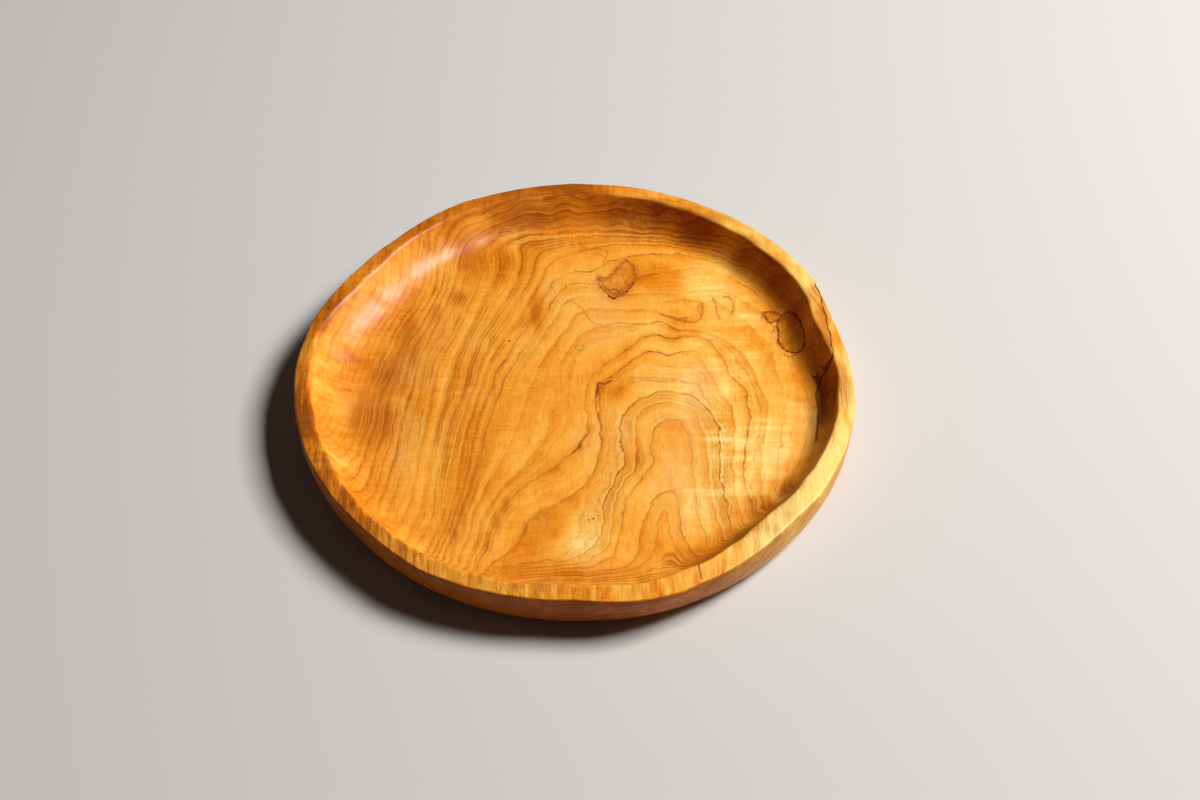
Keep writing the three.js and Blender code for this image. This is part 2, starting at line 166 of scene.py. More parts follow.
# Figure: growth lines on the floor of the dish. Each has the depth of its ring below the heart of the board in
# millimetres, and runs of points along it, in millimetres, with how boldly each run is drawn.
GROWTH_LINES = [
    (-1.5, [(0.6, [(-10, -107.5), (8, -107.5), (24, -106.3), (38, -104), (50, -101.5)])]),
    (0.0, [
        (0.3, [
            (6, -105.5), (20, -104), (31, -100), (35.5, -92), (36.5, -80), (38, -71), (41, -66),
            (43.5, -70), (44, -80), (46.5, -91), (52, -97),
        ]),
    ]),
    (0.6, [
        (0.6, [
            (-12, -104.8), (6, -103.2), (20, -101), (28, -95), (30.5, -84), (32, -75), (36, -65),
            (41, -58.5), (44.5, -57), (46, -61), (46.3, -70), (45.5, -79), (48, -88), (54, -95),
        ]),
    ]),
    (1.3, [
        (0.5, [
            (-26, -104), (-12, -102.4), (2, -100.6), (13, -97), (18.5, -91), (20, -80), (21.5, -69),
            (25, -60), (29, -53), (33, -47), (35.5, -42), (34.5, -34), (34.5, -27), (36.5, -21),
            (40, -17.5), (45, -15),
        ]),
        (0.25, [(45, -15), (50, -17), (53, -24), (54, -36), (54, -50), (54.5, -66), (57, -80), (62, -91)]),
    ]),
    (1.9, [
        (0.45, [
            (-29, -103), (-14, -100.8), (-1, -98.4), (9, -95), (14.5, -89), (16.5, -80), (17.5, -67),
            (20.5, -57), (25, -50), (28.5, -43), (28, -35), (26.5, -27), (27.5, -17), (31, -11), (37, -7),
        ]),
        (0.2, [
            (37, -7), (44, -6), (51, -8), (56, -14), (59, -24), (60, -40), (60, -58), (61.5, -72),
            (66, -84),
        ]),
    ]),
    (2.6, [
        (0.85, [
            (-31, -102), (-17, -99.3), (-5, -96.6), (4, -93.6), (9.5, -88.5), (12, -82), (12.5, -72),
            (14, -63), (17, -55.5), (20.5, -49), (22.3, -43), (21.8, -35), (21, -27), (22, -18), (25, -11),
            (29, -6), (35, -1.5),
        ]),
        (0.5, [(35, -1.5), (42, 1.5), (50, 0), (57, -4.5)]),
        (0.9, [
            (57, -4.5), (62, -9.5), (65, -16), (66.5, -25), (67, -36), (65.8, -46), (66, -56), (67, -66),
            (68.5, -75), (73, -83),
        ]),
    ]),
    (4.2, [
        (0.9, [
            (-36, -101), (-27, -94), (-23, -87), (-19.5, -79), (-15, -73), (-9, -68.5), (-4, -63.5),
            (1, -61),
        ]),
        (0.6, [(1, -61), (5, -54.5), (9, -46.5), (11.5, -38), (12, -30), (11, -20), (11.5, -10), (11, 0)]),
        (1.0, [
            (11, 0), (13, 5.5), (17, 8), (21, 14), (25.5, 18), (30, 22), (33.5, 25.5), (36.5, 28),
            (40, 25.5), (43, 22.5), (48, 25), (54, 26),
        ]),
        (0.2, [
            (54, 26), (60, 22), (64.5, 12), (68.5, 2), (71.5, -8), (72.5, -20), (72, -35), (70.5, -50),
            (71, -63), (74, -73),
        ]),
    ]),
    (6.0, [
        (0.6, [
            (-41, -100), (-37, -90), (-34.5, -80), (-32.5, -73), (-28, -64), (-21, -56), (-12, -49),
            (-6, -44.5),
        ]),
        (0.9, [(-6, -44.5), (-2, -37.5), (2, -32.5), (5.5, -26), (7, -22)]),
        (0.25, [(7, -22), (6, -12), (5.5, 0), (8.5, 10), (14, 17)]),
        (0.5, [(14, 17), (20, 22), (24, 27), (28, 30.5)]),
        (1.0, [
            (28, 30.5), (31.5, 33), (35, 36.5), (38.5, 37.5), (42, 36), (45, 33), (50, 36), (55, 36),
            (62, 34.5),
        ]),
        (0.4, [(62, 34.5), (67, 29), (70.5, 21), (72.5, 12.5)]),
        (0.9, [
            (72.5, 12.5), (76, 5), (79, 0), (80, -10), (79.3, -20), (77.8, -29), (77, -40), (75.5, -51),
            (76, -60), (79, -68),
        ]),
    ]),
    (8.5, [
        (0.2, [
            (-45, -97), (-40, -80), (-35.5, -66), (-28.5, -53), (-20, -41), (-13, -27), (-9, -12), (-8, 4),
            (-7, 19), (-2, 31), (3, 39), (10, 42.5), (18, 42.5), (26, 43.5), (33, 44),
        ]),
        (0.8, [(33, 44), (39, 45.5), (44, 43.5), (50, 40), (56, 38.5)]),
        (0.35, [
            (56, 38.5), (66, 36), (74, 30), (80, 22), (84, 12), (87, 0), (88, -12), (86.5, -25),
            (84.5, -38), (82.5, -50), (83, -60),
        ]),
    ]),
    (11.0, [
        (0.25, [
            (-49, -95), (-44, -76), (-39, -58), (-33, -42), (-27, -26), (-22, -10), (-19, 4), (-15, 18),
            (-10, 30), (-5, 41), (-1, 50), (5, 54.5), (14, 54.5), (24, 53.5), (34, 53.5), (43, 51),
        ]),
        (0.6, [(43, 51), (50, 47.5), (56, 46), (58.5, 50), (60, 56.5), (64, 59.5), (69, 59)]),
        (0.3, [
            (69, 59), (78, 50), (84, 40), (90, 28), (94, 14), (96, 0), (96, -15), (94, -30), (91, -45),
            (90, -55),
        ]),
    ]),
    (15.0, [
        (0.3, [
            (-53, -94), (-48, -75), (-42.5, -55), (-37.5, -35), (-32.5, -15), (-29, 1), (-25.5, 12),
            (-21, 23), (-16, 35), (-11, 47), (-7, 57), (0, 62), (10, 62.5), (25, 64), (40, 64), (55, 66),
            (66, 66.5), (76, 64), (85, 55), (93, 44), (99, 30), (102, 15), (103, 0), (102, -20), (99, -38),
            (95, -52),
        ]),
    ]),
    (19.0, [
        (0.6, [
            (-56, -95), (-51.5, -78), (-46, -58), (-42, -38), (-38.5, -16), (-35, 0), (-32, 10), (-28, 19),
            (-23, 29), (-18.5, 40), (-14.5, 50), (-11.5, 60), (-6, 69), (2, 71.5),
        ]),
    ]),
    (23.0, [
        (1.0, [
            (-58, -97), (-54, -88), (-51.5, -80), (-50, -70), (-48, -62), (-46.5, -52), (-45.5, -40),
            (-44.5, -25), (-43, -15), (-40, -5), (-38, 2), (-36, 12), (-33, 20), (-29.5, 27),
        ]),
        (0.7, [
            (-29.5, 27), (-26, 36), (-20.5, 46.5), (-17.5, 55), (-15, 64), (-11, 72.5), (-5, 77), (3, 79),
            (9, 80),
        ]),
        (0.4, [
            (18, 88), (28, 92), (40, 93), (52, 91.5), (66, 87), (80, 78.5), (91, 67.5), (101, 52),
            (107, 36), (111, 16), (112, 0), (111, -20), (108, -38), (103, -54),
        ]),
    ]),
    (25.5, [
        (0.6, [
            (-62, -97), (-57, -86), (-54, -76), (-52.5, -66), (-51, -54), (-50, -40), (-48.5, -25),
            (-46.5, -12), (-44, 0), (-41.5, 12), (-38, 24), (-33, 34), (-28, 44), (-24, 54), (-20.5, 64),
            (-17.5, 74), (-15, 83),
        ]),
        (0.7, [(0, 93), (14, 98), (28, 99.5), (42, 98.5), (55, 95.5), (69, 90), (82, 81), (92, 71)]),
    ]),
    (27.5, [
        (0.6, [
            (-66, -97), (-60, -86), (-57, -76), (-55.5, -66), (-54.5, -52), (-53.5, -38), (-52, -24),
            (-50, -10), (-47.5, 2), (-45.5, 12), (-42, 24), (-37.5, 36), (-32.5, 47), (-28, 58), (-25, 68),
            (-22.5, 78), (-21, 87),
        ]),
    ]),
    (30.0, [
        (1.0, [
            (-71, -96), (-66, -88), (-62, -80), (-60.5, -72), (-59.5, -60), (-58.5, -48), (-57.5, -35),
            (-56, -22), (-54, -10), (-52, 0), (-50, 10),
        ]),
        (0.7, [
            (-50, 10), (-48.5, 20), (-46, 30), (-42, 38), (-38, 47), (-34, 57), (-30, 68), (-28.5, 74),
            (-27, 80), (-26, 86), (-27, 92), (-27, 97), (-22, 100.5), (-12, 102),
        ]),
        (0.7, [
            (-12, 102), (2, 103.5), (15, 104.5), (30, 104.5), (44, 102.5), (58, 98.5), (72, 92), (84.5, 83),
            (94, 73.5), (101, 63), (107, 54), (112, 47),
        ]),
    ]),
    (33.0, [
        (0.5, [
            (-70, -82), (-65, -65), (-64, -45), (-62, -20), (-59, 0), (-57, 12), (-54, 26), (-51, 36),
            (-47, 48), (-43, 60), (-40, 72), (-38, 80), (-37, 88), (-37, 96), (-33, 103), (-22, 106.5),
            (-8, 107.5),
        ]),
        (0.7, [
            (-8, 107.5), (6, 108.5), (20, 108.5), (35, 107), (50, 103), (64, 97.5), (77, 90), (88, 81.5),
            (98, 71), (105, 63), (110, 57),
        ]),
    ]),
    (36.0, [
        (0.6, [
            (-77, -86), (-73, -75), (-70, -60), (-69, -40), (-67, -20), (-65, 0), (-63, 15), (-60, 28),
            (-56, 40), (-52, 52), (-48, 64), (-47, 72), (-46, 80), (-46.5, 88), (-48, 93),
        ]),
        (0.7, [
            (-34, 105), (-22, 108), (-10, 109.7), (5, 110.7), (22, 110.2), (40, 107.3), (57, 101.4),
            (72, 93.6), (85.5, 83.8), (97, 72.8), (107, 62.5),
        ]),
    ]),
    (40.0, [
        (0.5, [
            (-82, -72), (-78, -58), (-76, -40), (-74, -20), (-72, 0), (-70, 16), (-66, 32), (-62, 45),
            (-58, 57), (-54, 70), (-53, 80), (-55, 86),
        ]),
        (0.8, [
            (-44, 104), (-33, 109), (-20, 112), (-8, 113.7), (6, 114.4), (23, 113.7), (41, 110.3),
            (59, 104.4), (74, 96), (88, 85.7), (100, 74.7), (108, 66),
        ]),
    ]),
    (45.0, [
        (0.6, [
            (-92, -75), (-90, -65), (-86, -52), (-84, -35), (-81, -15), (-79, 5), (-76, 22), (-72, 38),
            (-67, 52), (-63, 66), (-61, 77),
        ]),
        (0.8, [
            (-52, 100), (-42, 107.5), (-30, 113.2), (-18, 116.3), (-5, 117.7), (10, 118), (26, 116.8),
            (43, 113.4), (61, 107.4), (77, 98.2), (91, 87.5), (103, 75.6),
        ]),
    ]),
    (52.0, [
        (0.5, [
            (-100, -60), (-96, -48), (-93, -32), (-90, -15), (-87, 5), (-84, 20), (-80, 36), (-75, 50),
            (-70, 62), (-67, 72),
        ]),
        (0.6, [
            (-50, 107), (-40, 112.5), (-29, 117), (-17, 120), (-4, 121.3), (12, 121.5), (28, 120),
            (45, 116.5), (63, 110.4), (79, 101), (93, 90),
        ]),
    ]),
    (63.0, [
        (0.3, [
            (-110, -50), (-106, -40), (-104, -30), (-101, -15), (-98, 0), (-96, 15), (-92, 30), (-86, 48),
            (-80, 62),
        ]),
    ]),
    (76.0, [(0.3, [(-118, -40), (-114, -30), (-112, -10), (-109, 5), (-106, 25), (-100, 42), (-92, 60)])]),
]
# Depths of the other rings: those above the heart, which the rim and the wall cut through, those between the
# lines on the long slope, and those beyond the outermost line
OTHER_DEPTHS = [
    *range(-20, 0, 1), 42.5, 48.5, 55.5, 59.0, 66.5, 69.5, 73.0, *range(79, 128, 3),
]
# Field of rings: spacing of the points that hold it in millimetres, how loosely they hold it, how many spots are
# worked out at a time, how far a line's boldness reaches in millimetres, and the fewest rings to a millimetre
LINE_SPACING = 5.0
FIELD_SLACK = 20.0
FIELD_BATCH = 2000
BOLD_REACH = 2
FEWEST_RINGS = 0.02

# Rings in each knot: half width and half length of the outermost in millimetres, turn in degrees, and their count
ARROW_KNOT_RING = ((7, 30), -24)
LONG_KNOT_RING = ((5.5, 40), 14)
SMALL_KNOT_RING = ((3, 3.2), 0)
KNOT_RINGS = 2.2

# Soft patches where the wood is brown, red, ambered or yellow: middle, half width across the grain and half
# length along it in millimetres, and amount. Parts of them are painted shade, as said above each list.
# Brown: stains on the floor of the dish, and painted shade along the right and back inner wall and in the hollow;
# those along the front-right cove make it a darker brown
BROWN_AND_SHADE_PATCHES = [
    (-90, -16, 12, 15, 1.6), (-85, 10, 9, 14, 1.5), (-78, 30, 6, 20, 1.4), (-56, 62, 4.5, 5, 1.2),
    (-66, 52, 3, 7, 1.1), (-45, 90, 24, 15, 0.7), (-18, 99, 18, 7, 0.8), (-19, 51, 3, 9, 1.1),
    (-24, 45, 4, 5, 0.9), (-9, -47, 6, 4, 0.6), (-57, -30, 2, 18, 0.6), (30, -40, 3.5, 7, 0.8),
    (12.5, 2.5, 2.5, 4.5, 1.1), (84, -70, 9, 9, 1.9), (95, -60, 7, 10, 1.7), (70, -88, 11, 8, 1.8),
    (52, -97, 14, 6, 1.6), (-29, -67, 2.5, 7, 0.9), (-33, -77, 2.5, 7, 0.9), (-36, -88, 2.5, 7, 0.9),
    (-48.5, -68, 2, 9, 0.8), (-51, -82, 2, 9, 0.8), (21, 65, 6, 4, 0.9), (3, -34, 2, 4, 0.8),
    (7, -24, 2, 4, 0.7), (9, -5, 1.5, 3, 0.6), (-3, -63, 5, 3, 0.6), (-38, 86, 10, 10, 0.5),
    (119, -8, 7, 16, 1.7), (116, 36, 3, 13, 1.5), (118, 19, 2.5, 8, 1.5), (113, 50, 4, 8, 1.1),
    (113, 20, 5, 18, 0.9), (107, 46, 6, 10, 1.0), (98, 66, 7, 9, 1.0), (84, 84, 9, 8, 1.0),
    (62, 102, 14, 6, 1.2), (34, 114, 20, 4, 1.1), (46, 108, 22, 6, 0.9), (-28, 113, 20, 6, 1.2),
    (113, -34, 4, 14, 0.8),
]
# Red: painted reddish shade along the right and back inner wall and in the hollow, carried with the knots' stain
RED_SHADE_PATCHES = [
    (118, -10, 6, 18, 0.9), (114, 28, 4, 22, 0.55), (113, -40, 4, 14, 0.5), (108, 55, 5, 12, 0.6),
    (94, 80, 8, 10, 0.6), (68, 102, 14, 6, 0.6), (40, 114, 26, 6, 0.7),
]
# Amber: the wood's darker tone, and painted shade on the long slope on the left, which faces the lamp, at the
# edge of the right wall's shadow, along the back wall and along the front inner edge
AMBER_AND_SHADE_PATCHES = [
    (41, 75, 11, 11, 1.5), (45, -25, 6, 10, 1.0), (20, 0, 10, 7, 0.9), (-18, 54, 4.5, 12, 1.4),
    (-66, 34, 22, 44, 0.5), (-92, 10, 16, 44, 0.7), (-42, 88, 22, 18, 1.0), (28, -42, 9, 12, 0.6),
    (80, -70, 14, 12, 0.8), (62, -94, 14, 8, 0.9), (-55, -60, 12, 30, 0.4), (0, -104, 50, 5, 0.9),
    (-105, 4, 8, 18, 0.6), (60, 100, 34, 8, 0.7), (-8, 110, 30, 6, 0.8), (-54, 10, 16, 30, 0.3),
    (-90, 40, 24, 40, 0.5), (98, 28, 10, 14, 0.7), (108, 28, 9, 34, 1.1), (99, 60, 9, 13, 0.9),
    (-90, -16, 14, 22, 0.7), (10, -118, 16, 7, 0.8),
]
# Yellow: paler wood, on which the painted sheen shows most
YELLOW_PATCHES = [
    (72, 15, 38, 70, 0.65), (72, -38, 20, 32, 1.0), (62, 73, 18, 13, 1.0), (86, -32, 11, 22, 1.2),
    (56, -62, 9, 22, 0.9), (4, -84, 10, 13, 0.8), (58, 8, 14, 9, 0.9), (-5, 60, 9, 9, 0.4),
    (24, -20, 5, 14, 0.4), (80, 50, 10, 12, 0.7), (30, 40, 22, 8, 0.4), (-104, -50, 9, 20, 0.5),
    (-70, -92, 20, 9, 0.4),
]

# Patches where the lines fade and the wood is flamed across the grain, and stretches of the rim that have greyed,
# listed in the same way
FAINT_PATCHES = [
    (-106, -5, 15, 62, 1.0), (-88, 62, 16, 24, 0.6), (-84, -76, 20, 20, 0.5), (8, -88, 26, 14, 0.5),
    (64, 78, 18, 12, 0.5), (104, 0, 9, 60, 0.6), (113, 8, 6, 14, 1.0),
]
GREYED_PATCHES = [
    (-72, -96, 26, 18, 1.0), (-30, -120, 26, 10, 0.6), (-121, -8, 8, 22, 0.8), (-108, -60, 14, 22, 0.7),
    (90, -88, 24, 18, 0.5),
]

# Paler and darker stretches of the rim: bearing of the middle and half width in degrees, and tone
RIM_STRETCHES = [
    (348, 30, 0.46), (318, 12, 0.26), (40, 14, 0.34), (12, 9, -0.42), (98, 16, -0.5), (135, 26, -0.3),
    (161, 9, -0.28), (190, 8, -0.42), (178, 14, -0.2), (215, 22, -0.26), (258, 12, -0.08), (283, 10, -0.16),
]

# Stain of the wood beside a knot, as amounts that fade over a reach in millimetres, and of the knot itself: the
# least, what is added at the edge and the reach of that, and how ambered and how faintly lined a knot is
KNOT_HALOS = [(0.55, 1.1), (0.30, 3.4)]
KNOT_STAIN = (0.34, 0.5, 1.6)
KNOT_AMBER = 0.5
KNOT_FAINT = 0.5

# What counts as the rim and as the wall: how far below the rim's height the rim begins and is full in
# millimetres, and how much a face looks up or outwards where each begins and is full
RIM_BAND = (2.2, 1.0)
RIM_LOOK = (0.5, 0.9)
OUTWARD_LOOK = (0.3, 0.8)

# Cracks and thin dark marks: half width in millimetres, darkness, and points along the mark in millimetres
CRACKS = [
    (0.5, 0.8, [(16.3, 66.7), (19.3, 67.8), (20.8, 65.7)]),
    (0.5, 0.7, [(13.2, 70.2), (15.2, 67.3), (17.2, 65.8), (18.6, 63.6)]),
    (0.5, 0.6, [(19.8, 63.6), (22.2, 67), (23.4, 67), (25.4, 70.4), (28.4, 73.4)]),
    (0.4, 0.5, [(21.2, 68.4), (22.6, 69.6), (24.6, 72.2)]),
    (1.1, 0.45, [(10.5, 76), (12.2, 73.6), (16.3, 75.2), (18.6, 78.4), (21.6, 82.7), (24.7, 87)]),
    (0.5, 0.6, [
        (1.5, 102.3), (2.3, 99.6), (3.9, 96.3), (7.3, 95.2), (10.7, 96.3), (14.9, 94.6), (16, 93),
        (14.5, 88.6), (13.7, 86.5),
    ]),
    (0.4, 0.5, [(10.7, 93.5), (12.6, 91.1), (14.5, 89.2)]),
    (0.7, 0.5, [(-0.2, 79.7), (3.6, 79.7), (6.6, 79.2), (8.8, 80)]),
    (0.5, 0.7, [(6.6, 71.2), (6.7, 71)]),
    (0.5, 0.7, [(5.5, 69.3), (5.3, 69.1)]),
    (0.4, 0.7, [(93.5, 37.6), (94.5, 40.1), (95.5, 43)]),
    (0.4, 0.7, [(95.4, 31), (95.7, 32.5), (96.2, 36.8)]),
    (0.5, 0.7, [(98, 24.5), (101, 22.2), (103.5, 23.5)]),
    (0.4, 0.7, [(91.4, 52.4), (90, 50.5), (89.2, 48)]),
    (0.4, 0.6, [(94, 53.6), (97, 54.4), (99.5, 53.2)]),
    # Along the foot of the hollow: partly a crack, and partly painted shade under the hollow's edge
    (0.7, 1.0, [
        (118.7, 9), (116.8, 8.2), (115, 7.2), (113.2, 3.3), (111.4, -2), (111.7, -6.8), (112.1, -11),
        (111.2, -17.8), (110.2, -25.7), (109.2, -32),
    ]),
    (0.9, 0.55, [(66.5, 61), (67.5, 57), (68, 52), (69, 47.5)]),
    (0.9, 0.55, [(71.5, 62), (74, 62.5), (76, 59), (76, 54), (74.5, 50)]),
    (0.8, 0.4, [(43.5, 58.6), (51.9, 60.1), (58, 59.2), (60.8, 58.6)]),
    (0.9, 0.55, [(60.8, 58.6), (61.3, 53), (60, 47.5), (56.6, 44.9), (48.2, 47), (41, 50.7)]),
    (0.8, 0.45, [(-6, 57.3), (-1.7, 60.1), (3.5, 54.3), (7.7, 45.6), (13, 42.7), (21, 44.9), (33.7, 43.4)]),
    (0.8, 1.0, [(10.2, -3), (10.8, 2), (11, 6), (14, 5.2), (17, 7.5)]),
    (0.6, 0.7, [(11.6, -17), (10.4, -11), (10.2, -3)]),
    (0.6, 0.9, [(-31, 32.5), (-30.6, 32.9)]),
    (0.4, 0.7, [(-15, -29.5), (-14.8, -29.2)]),
    (0.4, 0.5, [(-14.4, -27.5), (-14.3, -27.2)]),
    (0.5, 0.9, [(7, -75), (7.2, -74.8)]),
    (0.6, 0.9, [(9, -74.4), (9.3, -74.2)]),
    (0.4, 0.7, [(-48.5, -19.5), (-48.3, -19)]),
    (1.0, 0.4, [(-104.5, -44.5), (-103.5, -42.5)]),
    (0.45, 1.0, [(53.1, -106.0), (53.4, -111.0), (54.2, -117.0)]),
    (0.4, 0.65, [
        (4.6, 28.5), (4, 30.1), (2.5, 30.7), (1, 30), (0.4, 28.5), (1, 27), (2.5, 26.3), (4, 27),
        (4.6, 28.5),
    ]),
]
# Cuts of each face beside a crack, how far to its side they reach, and the lowest height of a crack, both in
# millimetres
CRACK_CUTS = 3
CRACK_SIDE = 3.2
CRACK_LOWEST = 10

# Kinds of noise in the wood and the bark: lumps to each millimetre along x, y and z, detail and roughness. Bands
# and streaks have them to each ring and to each millimetre along the grain.
GRAINS = {
    "wander": ((0.05, 0.035, 0.06), 2.0, 0.55),
    "jagged": ((0.17, 0.17, 0.17), 2.0, 0.5),
    "band": ((0.9, 0.006, 1.0), 2.0, 0.55),
    "streak": ((6.0, 0.012, 1.0), 4.0, 0.7),
    "cloud": ((0.03, 0.02, 0.03), 3.0, 0.55),
    "fleck": ((0.9, 0.22, 0.9), 3.0, 0.65),
    "torn": ((0.16, 0.06, 0.16), 4.0, 0.55),
    "season": ((0.04, 0.03, 0.04), 2.0, 0.55),
    "flame": ((0.05, 0.12, 0.05), 3.0, 0.55),
    "cut": ((0.34, 0.045, 0.16), 4.0, 0.65),
    "curl": ((0.10, 0.55, 0.10), 2.0, 0.55),
    "ripple": ((0.05, 0.22, 0.05), 2.0, 0.55),
    "blush": ((0.028, 0.020, 0.028), 4.0, 0.6),
    "patchy": ((0.04, 0.02, 0.04), 3.0, 0.55),
    "broken": ((0.25, 0.09, 0.25), 3.0, 0.6),
    "fade": ((0.05, 0.035, 0.05), 2.0, 0.55),
    "stipple": ((1.3, 0.9, 1.3), 2.0, 0.55),
    "mottle": ((0.5, 0.4, 0.5), 4.0, 0.65),
    "pores": ((1.5, 0.14, 1.5), 2.0, 0.55),
    "flakes": ((0.7, 0.7, 0.7), 5.0, 0.65),
}

# Stage: size of the floor, strength of the white surroundings, and the lamp's bearing and height in degrees,
# distance, size and power
FLOOR_SIZE = 8
WORLD_STRENGTH = 0.025
KEY_LAMP = (12, 50, 2.2, 0.75, 67)
# Camera: lens and sensor in millimetres, the point it is aimed at, its distance and its height in degrees
LENS = 60
SENSOR_WIDTH = 36
CAMERA_AIM = (0.01203, -0.01768, 0.025)
CAMERA_DISTANCE = 0.9
CAMERA_HEIGHT = 48


# Settings

def length(name, description, millimetres):
    return bpy.props.FloatProperty(name=name, description=description, default=millimetres * MM, unit="LENGTH")


def angle(name, description, degrees):
    return bpy.props.FloatProperty(
        name=name, description=description, default=math.radians(degrees), unit="ROTATION"
    )


def ratio(name, description, default):
    return bpy.props.FloatProperty(name=name, description=description, default=default)


def colour(name, description, *default):
    return bpy.props.FloatVectorProperty(
        name=name, description=description, default=default, size=3, subtype="COLOR"
    )


class PlateSizes(bpy.types.PropertyGroup):
    """Sizes of the turned and carved board."""

    rim_radius: length("Rim radius", "Radius of the outer edge before it strays", 128)
    rim_height: length("Rim height", "Height of the rim's inner edge above the table", CAD_BOX[1][2] / MM)
    rim_drop: length("Rim drop", "How much lower the rim's outer edge lies than its inner one", 1)
    rim_width: length("Rim width", "Width of the rim before it strays", 8)
    edge_round: length("Edge rounding", "Radius of the rim's edges", 1.2)
    floor_thickness: length("Floor thickness", "Thickness of the board under the dish", 10.5)
    foot_inset: length("Foot inset", "How far the foot stands in from the rim", 13)
    foot_shift: bpy.props.FloatVectorProperty(
        name="Foot shift",
        description="How far the foot lies off the middle",
        default=(3 * MM, -1 * MM),
        size=2,
        unit="LENGTH",
    )
    wall_fullness: ratio("Wall fullness", "How square the outer wall is in section, where 2 is an ellipse", 2.4)
    cove_run: length("Cove run", "Width of the curve from the rim down to the floor", 14)
    cove_curve: ratio("Cove curve", "How tightly the cove bends at its foot", 2.4)
    slope_extra_run: length(
        "Slope's extra run", "How much wider the cove is in the middle of its long slope", 16
    )
    slope_bearing: angle("Slope's bearing", "Where the long slope lies, anticlockwise from +X", 160)
    slope_spread: angle("Slope's spread", "How far round the plate the long slope fades out", 42)
    hollow_depth: length("Hollow depth", "How far the cove is set back where it bares the bark seam", 2)
    hollow_start: angle("Hollow start", "Bearing at which the hollow begins", -14)
    hollow_end: angle("Hollow end", "Bearing at which the hollow stops at the seam", 4.5)
    hollow_fade: angle("Hollow fade", "Length over which the hollow deepens", 6)


class KnotSizes(bpy.types.PropertyGroup):
    """Sizes of the knots, their bark and the seam in the rim."""

    bark_thickness: length("Bark thickness", "Mean thickness of the bark round the knots", 0.6)
    bark_sink: length("Bark sink", "How far the crumbly bark lies below the sanded wood", 0.25)
    seat_gap: length("Seat gap", "Clearance round every let-in body", 0.08)
    knot_taper: length("Knot taper", "How much a knot narrows towards the underside", 1.2)
    arrow_bark_top: length(
        "Arrow bark top", "Where the bark of the arrow knot ends, from the knot's middle", -3
    )
    seam_start: angle("Seam start", "Bearing of the seam at the rim's inner edge", 4.5)
    seam_end: angle("Seam end", "Bearing of the seam at the rim's outer edge", 27.5)
    seam_bend: ratio("Seam bend", "How the seam curves across the rim, where 1 is straight", 0.7)
    seam_thickness: length("Seam thickness", "Thickness of the sheet of bark", 0.4)
    seam_depth: length("Seam depth", "How far the sheet of bark runs down into the rim", 8)
    seam_lean: ratio("Seam lean", "How far the sheet leans in for each unit of depth", 0.3)


class PlateColours(bpy.types.PropertyGroup):
    """Colours of the oiled wood, the knots, the bark and the stage."""

    pale_wood: colour("Pale wood", "Lightest bands of the wood", 0.97, 0.50, 0.085)
    honey_wood: colour("Honey wood", "Usual colour of the wood", 0.90, 0.345, 0.027)
    amber_wood: colour("Amber wood", "Darker bands of the wood", 0.72, 0.185, 0.004)
    red_wood: colour("Red wood", "Broad patches with a red cast", 0.82, 0.24, 0.045)
    golden_cast: colour("Golden cast", "Cast over ambered wood", 1.0, 0.98, 0.35)
    # The tan and brown stains also colour the painted shade on the outer wall and on the right and back inner
    # wall.
    tan_stain: colour("Tan stain", "Streaks in the stained patches", 0.50, 0.120, 0.002)
    brown_stain: colour("Brown stain", "Smoky patches", 0.36, 0.080, 0.002)
    # Yellow wood also gives the painted sheen across the grain.
    yellow_wood: colour("Yellow wood", "Clear shimmering patches", 1.0, 0.69, 0.19)
    vein: colour("Vein", "Dark growth lines", 0.24, 0.040, 0.002)
    crack: colour("Crack", "Cracks and dark marks", 0.16, 0.022, 0.002)
    greyed_wood: colour(
        "Greyed wood", "Streaks of the rim that air and washing have greyed", 0.30, 0.125, 0.040
    )
    # Knot stain also colours the painted reddish shade on the right and back inner wall.
    knot_stain: colour("Knot stain", "Reddish stain of the knots", 0.34, 0.046, 0.001)
    bark: colour("Bark", "Usual colour of the bark", 0.075, 0.024, 0.007)
    bark_flake: colour("Bark flakes", "Lighter flakes in the bark", 0.22, 0.075, 0.020)
    stage_floor: colour("Stage floor", "Floor that the plate stands on", 0.62, 0.60, 0.57)


# Outlines

def through(a, b, c, d, share):
    """A place on the smooth curve from b to c, with a before them and d after them."""
    return b + 0.5 * share * (c - a + share * (2 * a - 5 * b + 4 * c - d + share * (3 * (b - c) + d - a)))


def around(values, bearing):
    """Values at bearings in radians, from a list that goes evenly round the plate, on a smooth closed curve."""
    count = len(values)
    known = np.asarray(values, dtype=float)
    place = np.mod(bearing, math.tau) / math.tau * count
    first = np.floor(place).astype(int)
    return through(*(known[(first + step) % count] for step in (-1, 0, 1, 2)), place - first)


def smooth_step(value, low, high):
    share = np.clip((value - low) / (high - low), 0, 1)
    return share * share * (3 - 2 * share)


def turn_from(bearing, start):
    """The angle from one bearing to another, from minus to plus half a turn."""
    return np.mod(bearing - start + math.pi, math.tau) - math.pi


def outer_radius(sizes, bearing):
    return sizes.rim_radius + around(RIM_STRAY, bearing) * MM


def inner_radius(sizes, bearing):
    return outer_radius(sizes, bearing) - sizes.rim_width - around(WIDTH_STRAY, bearing) * MM


def knife_marks(bearing):
    """How far the knife strayed from the drawn outline at each bearing."""
    return sum(depth * MM * np.sin(count * bearing + start) for count, depth, start in KNIFE_MARKS)


def cove_run(sizes, bearing):
    turn = turn_from(bearing, sizes.slope_bearing) / sizes.slope_spread
    return sizes.cove_run + sizes.slope_extra_run * np.exp(-turn * turn)


